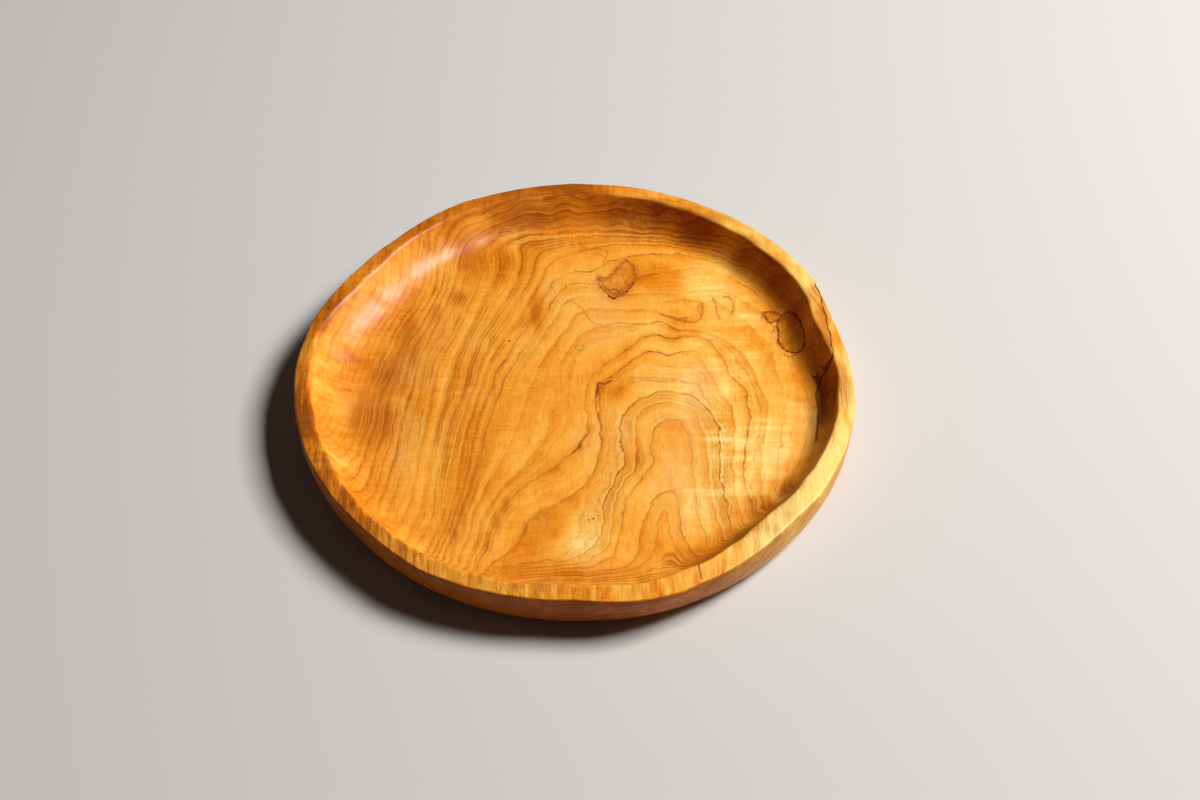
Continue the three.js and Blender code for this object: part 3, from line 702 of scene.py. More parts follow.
def hollow(sizes, bearing, share):
    """How far the bared seam sets the cove back, at a share of the way from the rim down to the floor."""
    turn = turn_from(bearing, 0)
    along = smooth_step(turn, sizes.hollow_start, sizes.hollow_start + sizes.hollow_fade)
    depth = sizes.hollow_depth * along * smooth_step(share, 0, HOLLOW_FULL)
    return np.where((turn > sizes.hollow_end) | (share > HOLLOW_STOP), 0, depth)


def travelled(corners):
    """How far along a line through corners each of them lies."""
    return np.concatenate([[0], np.cumsum(np.linalg.norm(np.diff(corners, axis=0), axis=1))])


def places_along(corners, distances):
    """Places at some distances along a line through corners."""
    passed = travelled(corners)
    return np.stack([np.interp(distances, passed, corners[:, axis]) for axis in (0, 1)], axis=1)


def closed_curve(points, middle):
    """An even, smooth, closed curve through a few points, as an array of corners in metres."""
    corners = np.asarray(points, dtype=float) * MM + middle
    count = len(corners)
    share = np.linspace(0, 1, STRETCH_STEPS, endpoint=False)[:, None]
    fine = np.vstack([
        through(*(corners[(i + step) % count] for step in (-1, 0, 1, 2)), share) for i in range(count)
    ])
    closed = np.vstack([fine, fine[:1]])
    curve = places_along(closed, np.linspace(0, travelled(closed)[-1], OUTLINE_STEPS, endpoint=False))
    following = np.roll(curve, -1, axis=0)
    area = np.sum(curve[:, 0] * following[:, 1] - following[:, 0] * curve[:, 1])
    return curve if area > 0 else curve[::-1]


def grown(outline, distance):
    """The outline moved outwards by one distance, or by a distance for each of its corners."""
    outwards = to_the_side(np.roll(outline, -1, axis=0) - np.roll(outline, 1, axis=0))
    return outline + outwards * np.reshape(distance, (-1, 1))


def to_the_side(ways):
    """Unit lengths square to each of a list of ways, on their right."""
    along = ways / np.linalg.norm(ways, axis=1, keepdims=True)
    return np.stack([along[:, 1], -along[:, 0]], axis=1)


# Modelling

def only(piece):
    """Leaves one object selected and active."""
    bpy.ops.object.select_all(action="DESELECT")
    piece.select_set(True)
    bpy.context.view_layer.objects.active = piece


class Editing:
    """Edit mode on one object, with all of its corners selected, or those that a list of true and false says."""

    def __init__(self, piece, chosen=None):
        self.piece = piece
        self.chosen = chosen

    def __enter__(self):
        only(self.piece)
        bpy.ops.object.mode_set(mode="EDIT")
        bpy.ops.mesh.select_mode(type="VERT")
        if self.chosen is None:
            bpy.ops.mesh.select_all(action="SELECT")
            return
        bpy.ops.mesh.select_all(action="DESELECT")
        bpy.ops.object.mode_set(mode="OBJECT")
        self.piece.data.vertices.foreach_set("select", np.asarray(self.chosen, dtype=bool))
        bpy.ops.object.mode_set(mode="EDIT")

    def __exit__(self, *failure):
        bpy.ops.object.mode_set(mode="OBJECT")


def active_as(name):
    """The active object, with a name for it and its mesh."""
    piece = bpy.context.view_layer.objects.active
    piece.name = name
    piece.data.name = name
    return piece


def listed(items, field, width=3, kind=float):
    """One field of all vertices, faces or face corners, as an array with a row for each."""
    values = np.empty(len(items) * width, dtype=kind)
    items.foreach_get(field, values)
    return values.reshape(-1, width) if width > 1 else values


def corners_of(piece):
    return listed(piece.data.vertices, "co")


def move_corners(piece, places):
    piece.data.vertices.foreach_set("co", np.ascontiguousarray(places).ravel())
    piece.data.update()


def face_outwards(piece):
    with Editing(piece):
        bpy.ops.mesh.normals_make_consistent(inside=False)


def copy_of(piece, name):
    only(piece)
    bpy.ops.object.duplicate()
    return active_as(name)


def cut(piece, operation, tool, keep_tool=False):
    """Applies a boolean of the piece with another object, which is then thrown away unless it is kept."""
    only(piece)
    bpy.ops.object.modifier_add(type="BOOLEAN")
    modifier = piece.modifiers[-1]
    modifier.operation = operation
    modifier.solver = "EXACT"
    modifier.object = tool
    bpy.ops.object.modifier_apply(modifier=modifier.name)
    if len(piece.data.polygons) == 0:
        raise RuntimeError(f"nothing is left of {piece.name}")
    if not keep_tool:
        bpy.data.objects.remove(tool)


def drop_empty_faces(piece):
    """Takes out faces and edges without any size, which a boolean can leave."""
    with Editing(piece):
        bpy.ops.mesh.dissolve_degenerate(threshold=NO_SIZE)


def smooth(piece, degrees):
    only(piece)
    bpy.ops.object.shade_smooth_by_angle(angle=math.radians(degrees))


def mean_section(sizes):
    """Radius and height of each ring of the round blank, from the foot over the rim to the edge of the floor."""
    wall_top = sizes.rim_height - sizes.rim_drop - sizes.edge_round
    inner = sizes.rim_radius - sizes.rim_width
    rings = []
    for step in range(WALL_RINGS + 1):
        turn = (1 - step / WALL_RINGS) * math.pi / 2
        inset = sizes.foot_inset * (1 - max(math.cos(turn), 0) ** (2 / sizes.wall_fullness))
        rise = 1 - math.sin(turn) ** (2 / sizes.wall_fullness)
        rings.append((sizes.rim_radius - inset, wall_top * rise))
    for step in range(1, EDGE_RINGS + 1):
        turn = step / EDGE_RINGS * math.pi / 2
        in_by = sizes.edge_round * (1 - math.cos(turn))
        rings.append((sizes.rim_radius - in_by, wall_top + sizes.edge_round * math.sin(turn)))
    for step in range(1, RIM_RINGS + 1):
        share = step / RIM_RINGS
        flat = sizes.rim_width - 2 * sizes.edge_round
        rings.append((
            sizes.rim_radius - sizes.edge_round - flat * share,
            sizes.rim_height - sizes.rim_drop * (1 - share),
        ))
    depth = sizes.rim_height - sizes.floor_thickness
    cove_start = sizes.floor_thickness + depth * (1 - EDGE_SHARE) ** sizes.cove_curve
    for step in range(1, EDGE_RINGS + 1):
        share = step / EDGE_RINGS
        over, into = (1 - share) ** 2, share ** 2
        rings.append((
            inner + over * sizes.edge_round - into * sizes.cove_run * EDGE_SHARE,
            sizes.rim_height + into * (cove_start - sizes.rim_height),
        ))
    for step in range(1, COVE_RINGS + 1):
        share = EDGE_SHARE + (1 - EDGE_SHARE) * step / COVE_RINGS
        rings.append((
            inner - sizes.cove_run * share,
            sizes.floor_thickness + depth * (1 - share) ** sizes.cove_curve,
        ))
    return rings


def carve_out_of_round(sizes, places):
    """Moves the corners of the round blank to the strayed outlines of the rim, the cove and the foot."""
    x, y, height = places.T
    bearing = np.arctan2(y, x)
    radius = np.hypot(x, y)
    wall_top = sizes.rim_height - sizes.rim_drop - sizes.edge_round
    inner = sizes.rim_radius - sizes.rim_width
    outer_marks = OUTER_MARK_SHARE * knife_marks(bearing + OUTER_MARK_START)
    new_outer = outer_radius(sizes, bearing) + outer_marks
    new_inner = inner_radius(sizes, bearing) + knife_marks(bearing)
    new_run = cove_run(sizes, bearing)

    in_dish = (height > sizes.floor_thickness - TINY) & (radius < inner + sizes.edge_round + TINY)
    on_rim = height > wall_top + sizes.edge_round - TINY
    share = np.clip((inner - radius) / sizes.cove_run, 0, 1)
    from_inner = np.maximum(radius - inner, 0)
    floor_radius = np.minimum(radius / (inner - sizes.cove_run), 1)
    across = (radius - inner - sizes.edge_round) / (sizes.rim_width - 2 * sizes.edge_round)

    coved = new_inner - new_run * share + from_inner + hollow(sizes, bearing, share)
    floored = floor_radius * (new_inner - new_run)
    dished = np.where(share < 1 - 1e-6, coved, floored)
    rimmed = new_inner + sizes.edge_round + across * (new_outer - new_inner - 2 * sizes.edge_round)
    rise = np.clip(height / wall_top, 0, 1)
    walled = radius + rise * (new_outer - sizes.rim_radius)

    new_radius = np.where(in_dish, dished, np.where(on_rim, rimmed, walled))
    shift = np.where(in_dish | on_rim, 0, (1 - rise) ** 2)
    return np.stack([
        new_radius * np.cos(bearing) + shift * sizes.foot_shift[0],
        new_radius * np.sin(bearing) + shift * sizes.foot_shift[1],
        height,
    ], axis=1)


def turned_blank(sizes, name):
    """The plate before anything is let into it: a ring drawn up the wall, over the rim and down into the dish."""
    rings = mean_section(sizes)
    bpy.ops.object.select_all(action="DESELECT")
    bpy.ops.mesh.primitive_circle_add(vertices=SEGMENTS, radius=rings[0][0], fill_type="NOTHING")
    blank = active_as(name)
    with Editing(blank):
        for (radius, height), (new_radius, new_height) in zip(rings, rings[1:]):
            bpy.ops.mesh.extrude_region_move(TRANSFORM_OT_translate={"value": (0, 0, new_height - height)})
            scale = new_radius / radius
            bpy.ops.transform.resize(value=(scale, scale, 1), center_override=(0, 0, 0))
        bpy.ops.mesh.fill_grid(span=SEGMENTS // 4)
    with Editing(blank, corners_of(blank)[:, 2] < TINY):
        bpy.ops.mesh.fill_grid(span=SEGMENTS // 4)
    move_corners(blank, carve_out_of_round(sizes, corners_of(blank)))
    face_outwards(blank)
    refine_along_cracks(blank)
    return blank


def refine_along_cracks(blank):
    """Cuts the faces of the dish along each crack into smaller ones, so that the corners can carry thin marks."""
    places = corners_of(blank) / MM
    near = np.zeros(len(places), dtype=bool)
    for _, _, points in CRACKS:
        near |= away_from_line(points, places[:, :2]) < CRACK_SIDE
    with Editing(blank, near & (places[:, 2] > CRACK_LOWEST)):
        bpy.ops.mesh.subdivide(number_cuts=CRACK_CUTS, quadcorner="INNERVERT")


def leaning_prism(name, outline, low, level, high, lean, taper):
    """A prism that keeps its outline from a level up, and below that leans and draws in towards its middle."""
    bpy.ops.object.select_all(action="DESELECT")
    bpy.ops.mesh.primitive_circle_add(vertices=len(outline), fill_type="NGON")
    prism = active_as(name)
    move_corners(prism, np.column_stack([outline, np.full(len(outline), low)]))
    with Editing(prism):
        for rise in (level - low, high - level):
            bpy.ops.mesh.extrude_region_move(TRANSFORM_OT_translate={"value": (0, 0, rise)})
    middle = outline.mean(axis=0)
    reach = np.linalg.norm(outline - middle, axis=1).mean()
    scale = 1 - taper / reach
    drop = low - level
    with Editing(prism, corners_of(prism)[:, 2] < low + TINY):
        bpy.ops.transform.resize(value=(scale, scale, 1), center_override=(middle[0], middle[1], low))
        bpy.ops.transform.translate(value=(lean[0] * drop, lean[1] * drop, 0))
    face_outwards(prism)
    return prism


def knot_prism(name, outline, growth, lean):
    """A knot's prism, whose bend lies just above the floor so that no edge of it lies in the floor's faces."""
    scene = bpy.context.scene
    return leaning_prism(
        name,
        grown(outline, growth),
        -OVERRUN,
        scene.plate_sizes.floor_thickness + BEND_LIFT,
        scene.plate_sizes.rim_height + OVERRUN,
        lean,
        scene.knot_sizes.knot_taper,
    )


def knot_middle(place):
    """Middle of a knot from its bearing in degrees and its distance from the rim in millimetres."""
    sizes = bpy.context.scene.plate_sizes
    bearing = math.radians(place[0])
    radius = float(inner_radius(sizes, bearing)) - place[1] * MM
    return np.array([radius * math.cos(bearing), radius * math.sin(bearing)])


def uneven(mean, count, seed):
    """A thickness that is mostly thin round an outline, with a thick place here and there."""
    draw = np.random.default_rng(seed)
    rough = draw.uniform(0, 1, count)
    softened = 0.5 * rough + 0.25 * (np.roll(rough, 1) + np.roll(rough, -1))
    stretches = draw.uniform(0.1, 1, BARK_STRETCHES)
    place = np.arange(count) / count * BARK_STRETCHES
    slow = np.interp(place, np.arange(BARK_STRETCHES + 1), [*stretches, stretches[0]])
    return mean * (BARK_LEAST + BARK_SWELL * slow * softened ** 2)


def fit_to_plate(piece, sink=0.0):
    """Trims a piece to the blank's own surface, or to that surface let down a little."""
    blank = bpy.data.objects["plate_blank"]
    if sink == 0:
        cut(piece, "INTERSECT", blank, keep_tool=True)
        return
    lowered = copy_of(blank, "lowered_blank")
    places = corners_of(lowered)
    upper = places[:, 2] > 1 * MM
    move_corners(lowered, places - np.outer(upper * sink, (0, 0, 1)))
    cut(piece, "INTERSECT", lowered)


def let_in(socket):
    """Cuts a socket in the plate and throws the cutting body away."""
    cut(bpy.data.objects["plate_wood"], "DIFFERENCE", socket)


def seat(piece, material, slot, *nodes):
    """Finishes a piece: its material, hides the CAD nodes it stands for, and puts it under its body.
    The slot is not used.
    """
    piece.data.materials.clear()
    piece.data.materials.append(material)
    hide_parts(*nodes)
    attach(piece, "root")


# Figure of the wood

def along_line(points, spacing):
    """Points at an even spacing along a line through a few points."""
    corners = np.asarray(points, dtype=float)
    whole = travelled(corners)[-1]
    return places_along(corners, np.linspace(0, whole, max(int(whole / spacing), 2)))


def dish_rise(spots):
    """How far the cove and the rim rise above the floor at spots in millimetres."""
    sizes = bpy.context.scene.plate_sizes
    bearing = np.arctan2(spots[:, 1], spots[:, 0])
    inwards = inner_radius(sizes, bearing) - np.hypot(spots[:, 0], spots[:, 1]) * MM
    share = np.clip(inwards / cove_run(sizes, bearing), 0, 1)
    return (sizes.rim_height - sizes.floor_thickness) / MM * (1 - share) ** sizes.cove_curve


class DepthField:
    """Depth of the growth ring that each spot of the floor shows: a thin plate bent through the growth lines."""

    def __init__(self, lines):
        runs = [
            (depth, bold, along_line(points, LINE_SPACING)) for depth, parts in lines for bold, points in parts
        ]
        self.held = np.vstack([run for _, _, run in runs])
        self.boldness = np.concatenate([np.full(len(run), bold) for _, bold, run in runs])
        depths = [depth + dish_rise(run) for depth, _, run in runs]
        count = len(self.held)
        system = np.zeros((count + 3, count + 3))
        system[:count, :count] = self.bend(self.held, self.held)[0] + FIELD_SLACK * np.eye(count)
        system[:count, count] = 1
        system[:count, count + 1:] = self.held
        system[count:, :count] = system[:count, count:].T
        weights = np.linalg.solve(system, np.concatenate([*depths, np.zeros(3)]))
        self.push, self.level, self.tilt = weights[:count], weights[count], weights[count + 1:]

    @staticmethod
    def bend(spots, held):
        """The bending of a plate at spots pushed up at held points, and the slopes of it across and along."""
        away = spots[:, None, :] - held[None, :, :]
        square = np.maximum((away ** 2).sum(axis=2), 1e-9)
        logarithm = np.log(square)
        slope = (logarithm + 1)[:, :, None] * away
        return 0.5 * square * logarithm, slope

    def at(self, spots):
        """Depths at spots in millimetres, the slopes of the depth across and along, and how bold lines are."""
        depths = np.empty(len(spots))
        slopes = np.empty((len(spots), 2))
        boldness = np.empty(len(spots))
        for start in range(0, len(spots), FIELD_BATCH):
            part = slice(start, start + FIELD_BATCH)
            bent, slope = self.bend(spots[part], self.held)
            depths[part] = bent @ self.push + self.level + spots[part] @ self.tilt
            slopes[part] = np.einsum("ijk,j->ik", slope, self.push) + self.tilt
            square = ((spots[part, None, :] - self.held[None, :, :]) ** 2).sum(axis=2)
            near = 1 / (square + BOLD_REACH ** 2) ** 2
            boldness[part] = near @ self.boldness / near.sum(axis=1)
        return depths, slopes, boldness


def rim_tone(bearing):
    """How much paler or darker the rim is at each bearing."""
    tone = np.zeros(len(bearing))
    for middle, half_width, most in RIM_STRETCHES:
        turned = np.degrees(turn_from(bearing, math.radians(middle)))
        tone += most * np.exp(-(turned / half_width) ** 2)
    return tone


def patchwork(patches, places):
    """How much of a list of soft patches lies on each place, in millimetres."""
    amount = np.zeros(len(places))
    for x, y, across, along, most in patches:
        away = ((places[:, 0] - x) / across) ** 2 + ((places[:, 1] - y) / along) ** 2
        amount = np.maximum(amount, most * np.exp(-away))
    return amount


def away_from_line(points, places):
    """How far each place lies from a line through a few points, all in millimetres."""
    corners = np.asarray(points, dtype=float)
    nearest = np.full(len(places), np.inf)
    for start, end in zip(corners, corners[1:]):
        way = end - start
        share = np.clip((places - start) @ way / (way @ way), 0, 1)
        nearest = np.minimum(nearest, np.linalg.norm(places - start - share[:, None] * way, axis=1))
    return nearest


def cracked(places):
    """Darkness of the cracks and marks at each place of the dish and the rim, in millimetres."""
    darkness = np.zeros(len(places))
    for half_width, most, points in CRACKS:
        away = away_from_line(points, places[:, :2]) / half_width
        darkness = np.maximum(darkness, most * np.exp(-away * away))
    return np.where(places[:, 2] > CRACK_LOWEST, darkness, 0)


def away_from_knots(places):
    """How far each place lies from the nearest edge of a knot, in millimetres."""
    knots = [
        (ARROW_KNOT_OUTLINE, ARROW_KNOT_PLACE),
        (LONG_KNOT_OUTLINE, TWIN_KNOT_PLACE),
        (SMALL_KNOT_OUTLINE, TWIN_KNOT_PLACE),
    ]
    edges = [closed_curve(points, knot_middle(place)) for points, place in knots]
    away = [away_from_line(np.vstack([edge, edge[:1]]) / MM, places[:, :2]) for edge in edges]
    return np.min(away, axis=0)


def keep_on_corners(piece, **kept):
    """Keeps values on the corners of a piece under their names, for its material to read."""
    for name, values in kept.items():
        attribute = piece.data.attributes.new(name, "FLOAT", "POINT")
        attribute.data.foreach_set("value", np.asarray(values, dtype=np.float32))


def lay_stains(piece, stain, amber=0.0, faint=0.0):
    """Gives each corner the stains, painted shade and cracks that don't follow the rings, and how it faces."""
    rim_height = bpy.context.scene.plate_sizes.rim_height / MM
    places = corners_of(piece) / MM
    normals = listed(piece.data.vertices, "normal")
    x, y, height = places.T
    top = smooth_step(height, *(rim_height - below for below in RIM_BAND))
    rim = top * smooth_step(normals[:, 2], *RIM_LOOK)
    outwards = (normals[:, :2] * places[:, :2]).sum(axis=1) / np.maximum(np.hypot(x, y), 1)
    in_board = 0.0 if faint else 1.0
    flamed = in_board * patchwork(FAINT_PATCHES, places)
    keep_on_corners(
        piece,
        rim=rim,
        rim_tone=rim * rim_tone(np.arctan2(y, x)),
        end_grain=np.abs(normals[:, 1]),
        wall=smooth_step(outwards, *OUTWARD_LOOK),
        brown=patchwork(BROWN_AND_SHADE_PATCHES, places),
        amber=amber + patchwork(AMBER_AND_SHADE_PATCHES, places),
        yellow=in_board * patchwork(YELLOW_PATCHES, places),
        flamed=flamed,
        faint=np.maximum(faint, flamed),
        greyed=rim * patchwork(GREYED_PATCHES, places),
        crack=cracked(places),
        # The stain also carries the red patches of painted reddish shade on the inner wall
        stain=np.maximum(stain, (1 - rim) * patchwork(RED_SHADE_PATCHES, places)),
    )


def lay_figure(piece):
    """Gives each corner of the board the number of its growth ring, the rings to a millimetre, its stains and
    painted shade.
    """
    sizes = bpy.context.scene.plate_sizes
    places = corners_of(piece) / MM
    depths, slopes, boldness = DepthField(GROWTH_LINES).at(places[:, :2])
    depth = depths - (places[:, 2] - sizes.floor_thickness / MM)
    rings = np.array(sorted(OTHER_DEPTHS + [line[0] for line in GROWTH_LINES]))
    numbers = np.arange(len(rings))
    step = np.gradient(numbers, rings)
    growth = np.column_stack([slopes, -np.ones(len(depth))]) * np.interp(depth, rings, step)[:, None]
    normals = listed(piece.data.vertices, "normal")
    growth -= normals * (growth * normals).sum(axis=1)[:, None]
    keep_on_corners(
        piece,
        ring=np.interp(depth, rings, numbers),
        rings_per_mm=np.maximum(np.linalg.norm(growth, axis=1), FEWEST_RINGS),
        boldness=boldness,
    )
    away = away_from_knots(places)
    lay_stains(piece, sum(most * np.exp(-(away / reach) ** 2) for most, reach in KNOT_HALOS))


def lay_knot_figure(piece, heart, reach, grain):
    """Gives each corner of a knot its long ring round the heart, and a stain that deepens towards its edge."""
    places = corners_of(piece) / MM
    turn = math.radians(grain)
    axes = np.array([(math.cos(turn), -math.sin(turn)), (math.sin(turn), math.cos(turn))])
    out = np.hypot(*((places[:, :2] - heart / MM) @ axes / reach).T)
    keep_on_corners(
        piece,
        ring=out * KNOT_RINGS,
        rings_per_mm=np.full(len(places), KNOT_RINGS / min(reach)),
        boldness=np.zeros(len(places)),
    )
    least, added, edge = KNOT_STAIN
    stain = least + added * np.exp(-away_from_knots(places) / edge)
    lay_stains(piece, stain, KNOT_AMBER, KNOT_FAINT)


# Flat map of the board

def face_corners(mesh):
    """The vertex and the face of each corner of a face, and each face's middle and normal."""
    vertex = listed(mesh.loops, "vertex_index", 1, np.int32)
    count = listed(mesh.polygons, "loop_total", 1, np.int32)
    face = np.repeat(np.arange(len(count)), count)
    return vertex, face, listed(mesh.polygons, "center"), listed(mesh.polygons, "normal")


def on_disc(disc, places):
    return np.array(disc[:2]) + disc[2] * places / np.linalg.norm(places, axis=1).max()


def lay_board_map(board):
    """Lays the uncut board out flat in the map."""
    sizes = bpy.context.scene.plate_sizes
    vertex, face, middle, normal = face_corners(board.data)
    x, y, height = corners_of(board)[vertex].T
    middle, normal = middle[face], normal[face]
    middle_bearing = np.arctan2(middle[:, 1], middle[:, 0])
    bearing = middle_bearing + turn_from(np.arctan2(y, x), middle_bearing)
    radius = np.hypot(x, y)
    outwards = normal[:, 0] * np.cos(middle_bearing) + normal[:, 1] * np.sin(middle_bearing)
    under = middle[:, 2] < TINY
    on_wall = ~under & (outwards > np.where(normal[:, 2] < 0, 0, WALL_LOOK))
    in_dish = ~under & ~on_wall

    flat = np.zeros((len(vertex), 2))
    spread = (radius + COVE_STRETCH * (height - sizes.floor_thickness))[:, None]
    ray = np.stack([np.cos(bearing), np.sin(bearing)], axis=1)
    flat[in_dish] = on_disc(DISH_DISC, (spread * ray)[in_dish])
    flat[under] = on_disc(UNDERSIDE_DISC, np.stack([x, y], axis=1)[under])
    climb = (height + radius - outer_radius(sizes, bearing))[on_wall]
    climb = (climb - climb.min()) / np.ptp(climb)
    half = (middle_bearing[on_wall] > 0).astype(int)
    low, tall = np.array(WALL_STRIPS)[half].T
    along = STRIP_START + STRIP_LENGTH * (bearing[on_wall] / math.pi + 1 - half)
    flat[on_wall] = np.stack([along, low + tall * climb], axis=1)
    board.data.uv_layers.new(name=MAP_NAME).uv.foreach_set("vector", flat.astype(np.float32).ravel())


def lay_socket_map(board):
    """Lays the walls of the sockets, which aren't on the map yet, out in cells by socket and by how they face."""
    spots = board.data.uv_layers[MAP_NAME].uv
    flat = listed(spots, "vector", 2, np.float32)
    vertex, face, middle, normal = face_corners(board.data)
    corners = corners_of(board)[vertex]
    unlaid = np.bincount(face, np.abs(flat).sum(axis=1)) == 0
    sockets = np.array([knot_middle(ARROW_KNOT_PLACE), knot_middle(TWIN_KNOT_PLACE)])
    off = np.linalg.norm(middle[:, None, :2] - sockets, axis=2)
    socket = np.where(off.min(axis=1) < SOCKET_REACH, off.argmin(axis=1), len(sockets))
    axis = np.abs(normal).argmax(axis=1)
    way = axis * 2 + (normal[np.arange(len(axis)), axis] > 0)
    left, low, wide, tall = SOCKET_CELLS
    for column in range(len(sockets) + 1):
        for row in range(5):
            here = (unlaid & (socket == column) & (np.minimum(way, 4) == row))[face]
            if here.any():
                seen = corners[here][:, [side for side in range(3) if side != row // 2]]
                share = (seen - seen.min(axis=0)) / np.maximum(np.ptp(seen, axis=0), MM)
                cell = (left + column * wide, low + row * tall)
                flat[here] = cell + share * (wide - CELL_MARGIN, tall - CELL_MARGIN)
    spots.foreach_set("vector", flat.ravel())


# Shading

class Wire:
    """A socket in a material's node tree. Sums on it add Math nodes, and node adds any other node."""

    def __init__(self, tree, socket=None):
        self.tree = tree
        self.socket = socket

    def node(self, kind, settings, inputs, output=0):
        """Adds a node, sets it up, fills its inputs from numbers or wires, and gives one of its outputs."""
        made = self.tree.nodes.new(kind)
        for name, value in settings.items():
            setattr(made, name, value)
        for name, value in inputs.items():
            if isinstance(value, Wire):
                self.tree.links.new(value.socket, made.inputs[name])
            else:
                made.inputs[name].default_value = value
        return Wire(self.tree, made.outputs[output])

    def math(self, operation, first, second=0.0):
        return self.node("ShaderNodeMath", {"operation": operation}, {0: first, 1: second})

    def __add__(self, other):
        return self.math("ADD", self, other)

    def __radd__(self, other):
        return self.math("ADD", other, self)

    def __sub__(self, other):
        return self.math("SUBTRACT", self, other)

    def __rsub__(self, other):
        return self.math("SUBTRACT", other, self)

    def __mul__(self, other):
        return self.math("MULTIPLY", self, other)

    def __truediv__(self, other):
        return self.math("DIVIDE", self, other)

    def __pow__(self, other):
        return self.math("POWER", self, other)

    def __abs__(self):
        return self.math("ABSOLUTE", self)

    def rounded(self):
        return self.math("ROUND", self)

    def fraction(self):
        return self.math("FRACT", self)

    def between(self, low, high):
        """Rises smoothly from 0 at low to 1 at high, or falls where low is the greater."""
        return self.node(
            "ShaderNodeMapRange",
            {"interpolation_type": "SMOOTHSTEP"},
            {"Value": self, "From Min": low, "From Max": high},
        )

    def attribute(self, name):
        return self.node("ShaderNodeAttribute", {"attribute_name": name}, {}, "Fac")

    def millimetres(self):
        """The place on the piece, in millimetres."""
        place = self.node("ShaderNodeTexCoord", {}, {}, "Object")
        return self.node("ShaderNodeVectorMath", {"operation": "SCALE"}, {0: place, "Scale": 1 / MM})

    def axis(self, name):
        """One of the three numbers of a place."""
        return self.node("ShaderNodeSeparateXYZ", {}, {"Vector": self}, name)

    def point(self, x, y):
        return self.node("ShaderNodeCombineXYZ", {}, {"X": x, "Y": y})

    def noise(self, kind):
        """Soft noise from 0 to 1 at a place, of a kind that GRAINS lists."""
        scale, detail, roughness = GRAINS[kind]
        stretched = self.node("ShaderNodeVectorMath", {"operation": "MULTIPLY"}, {0: self, 1: scale})
        return self.node(
            "ShaderNodeTexNoise",
            {"noise_dimensions": "3D"},
            {"Vector": stretched, "Scale": 1.0, "Detail": detail, "Roughness": roughness},
        )

    def swing(self, kind):
        """The same noise, from minus to plus a half."""
        return self.noise(kind) - 0.5

    def split_rings(self, per_mm, parts, width):
        """Lines that split each ring into uneven parts: dark on a line, and some lines darker than others."""
        rings = self * parts
        warp = self.node("ShaderNodeTexNoise", {"noise_dimensions": "1D"}, {"W": rings * 0.6, "Detail": 1.0})
        warped = rings + warp * 2.0
        number = warped.rounded()
        strength = self.node("ShaderNodeTexWhiteNoise", {"noise_dimensions": "1D"}, {"W": number}, "Value")
        away = abs(warped - number) / (per_mm * parts)
        return away.between(width, width * 0.15) * strength * strength

    def blend(self, amount, *colours, way="MIX"):
        """Mixes two colours, each of which is a wire or three numbers."""
        first, second = (colour if isinstance(colour, Wire) else (*colour, 1) for colour in colours)
        return self.node(
            "ShaderNodeMix",
            {"data_type": "RGBA", "blend_type": way},
            {0: amount, 6: first, 7: second},
            2,
        )

    def ramp(self, *stops):
        """The colour that lies at this number on a ramp, from positions and colours."""
        made = self.node("ShaderNodeValToRGB", {}, {"Fac": self})
        elements = made.socket.node.color_ramp.elements
        while len(elements) < len(stops):
            elements.new(1)
        for element, (position, colour) in zip(elements, stops):
            element.position = position
            element.color = (*colour, 1)
        return made

    def bump(self, strength, distance):
        return self.node("ShaderNodeBump", {}, {"Strength": strength, "Distance": distance, "Height": self})


def new_material(name, **constants):
    """A material with a Principled shader whose constant sockets are set, and a wire to add nodes from."""
    material = bpy.data.materials.new(name)
    material.use_nodes = True
    shader = material.node_tree.nodes["Principled BSDF"]
    for socket, value in constants.items():
        shader.inputs[socket.replace("_", " ")].default_value = value
    return material, shader, Wire(material.node_tree)


def connect(shader, wires):
    for socket, wire in wires.items():
        wire.tree.links.new(wire.socket, shader.inputs[socket])


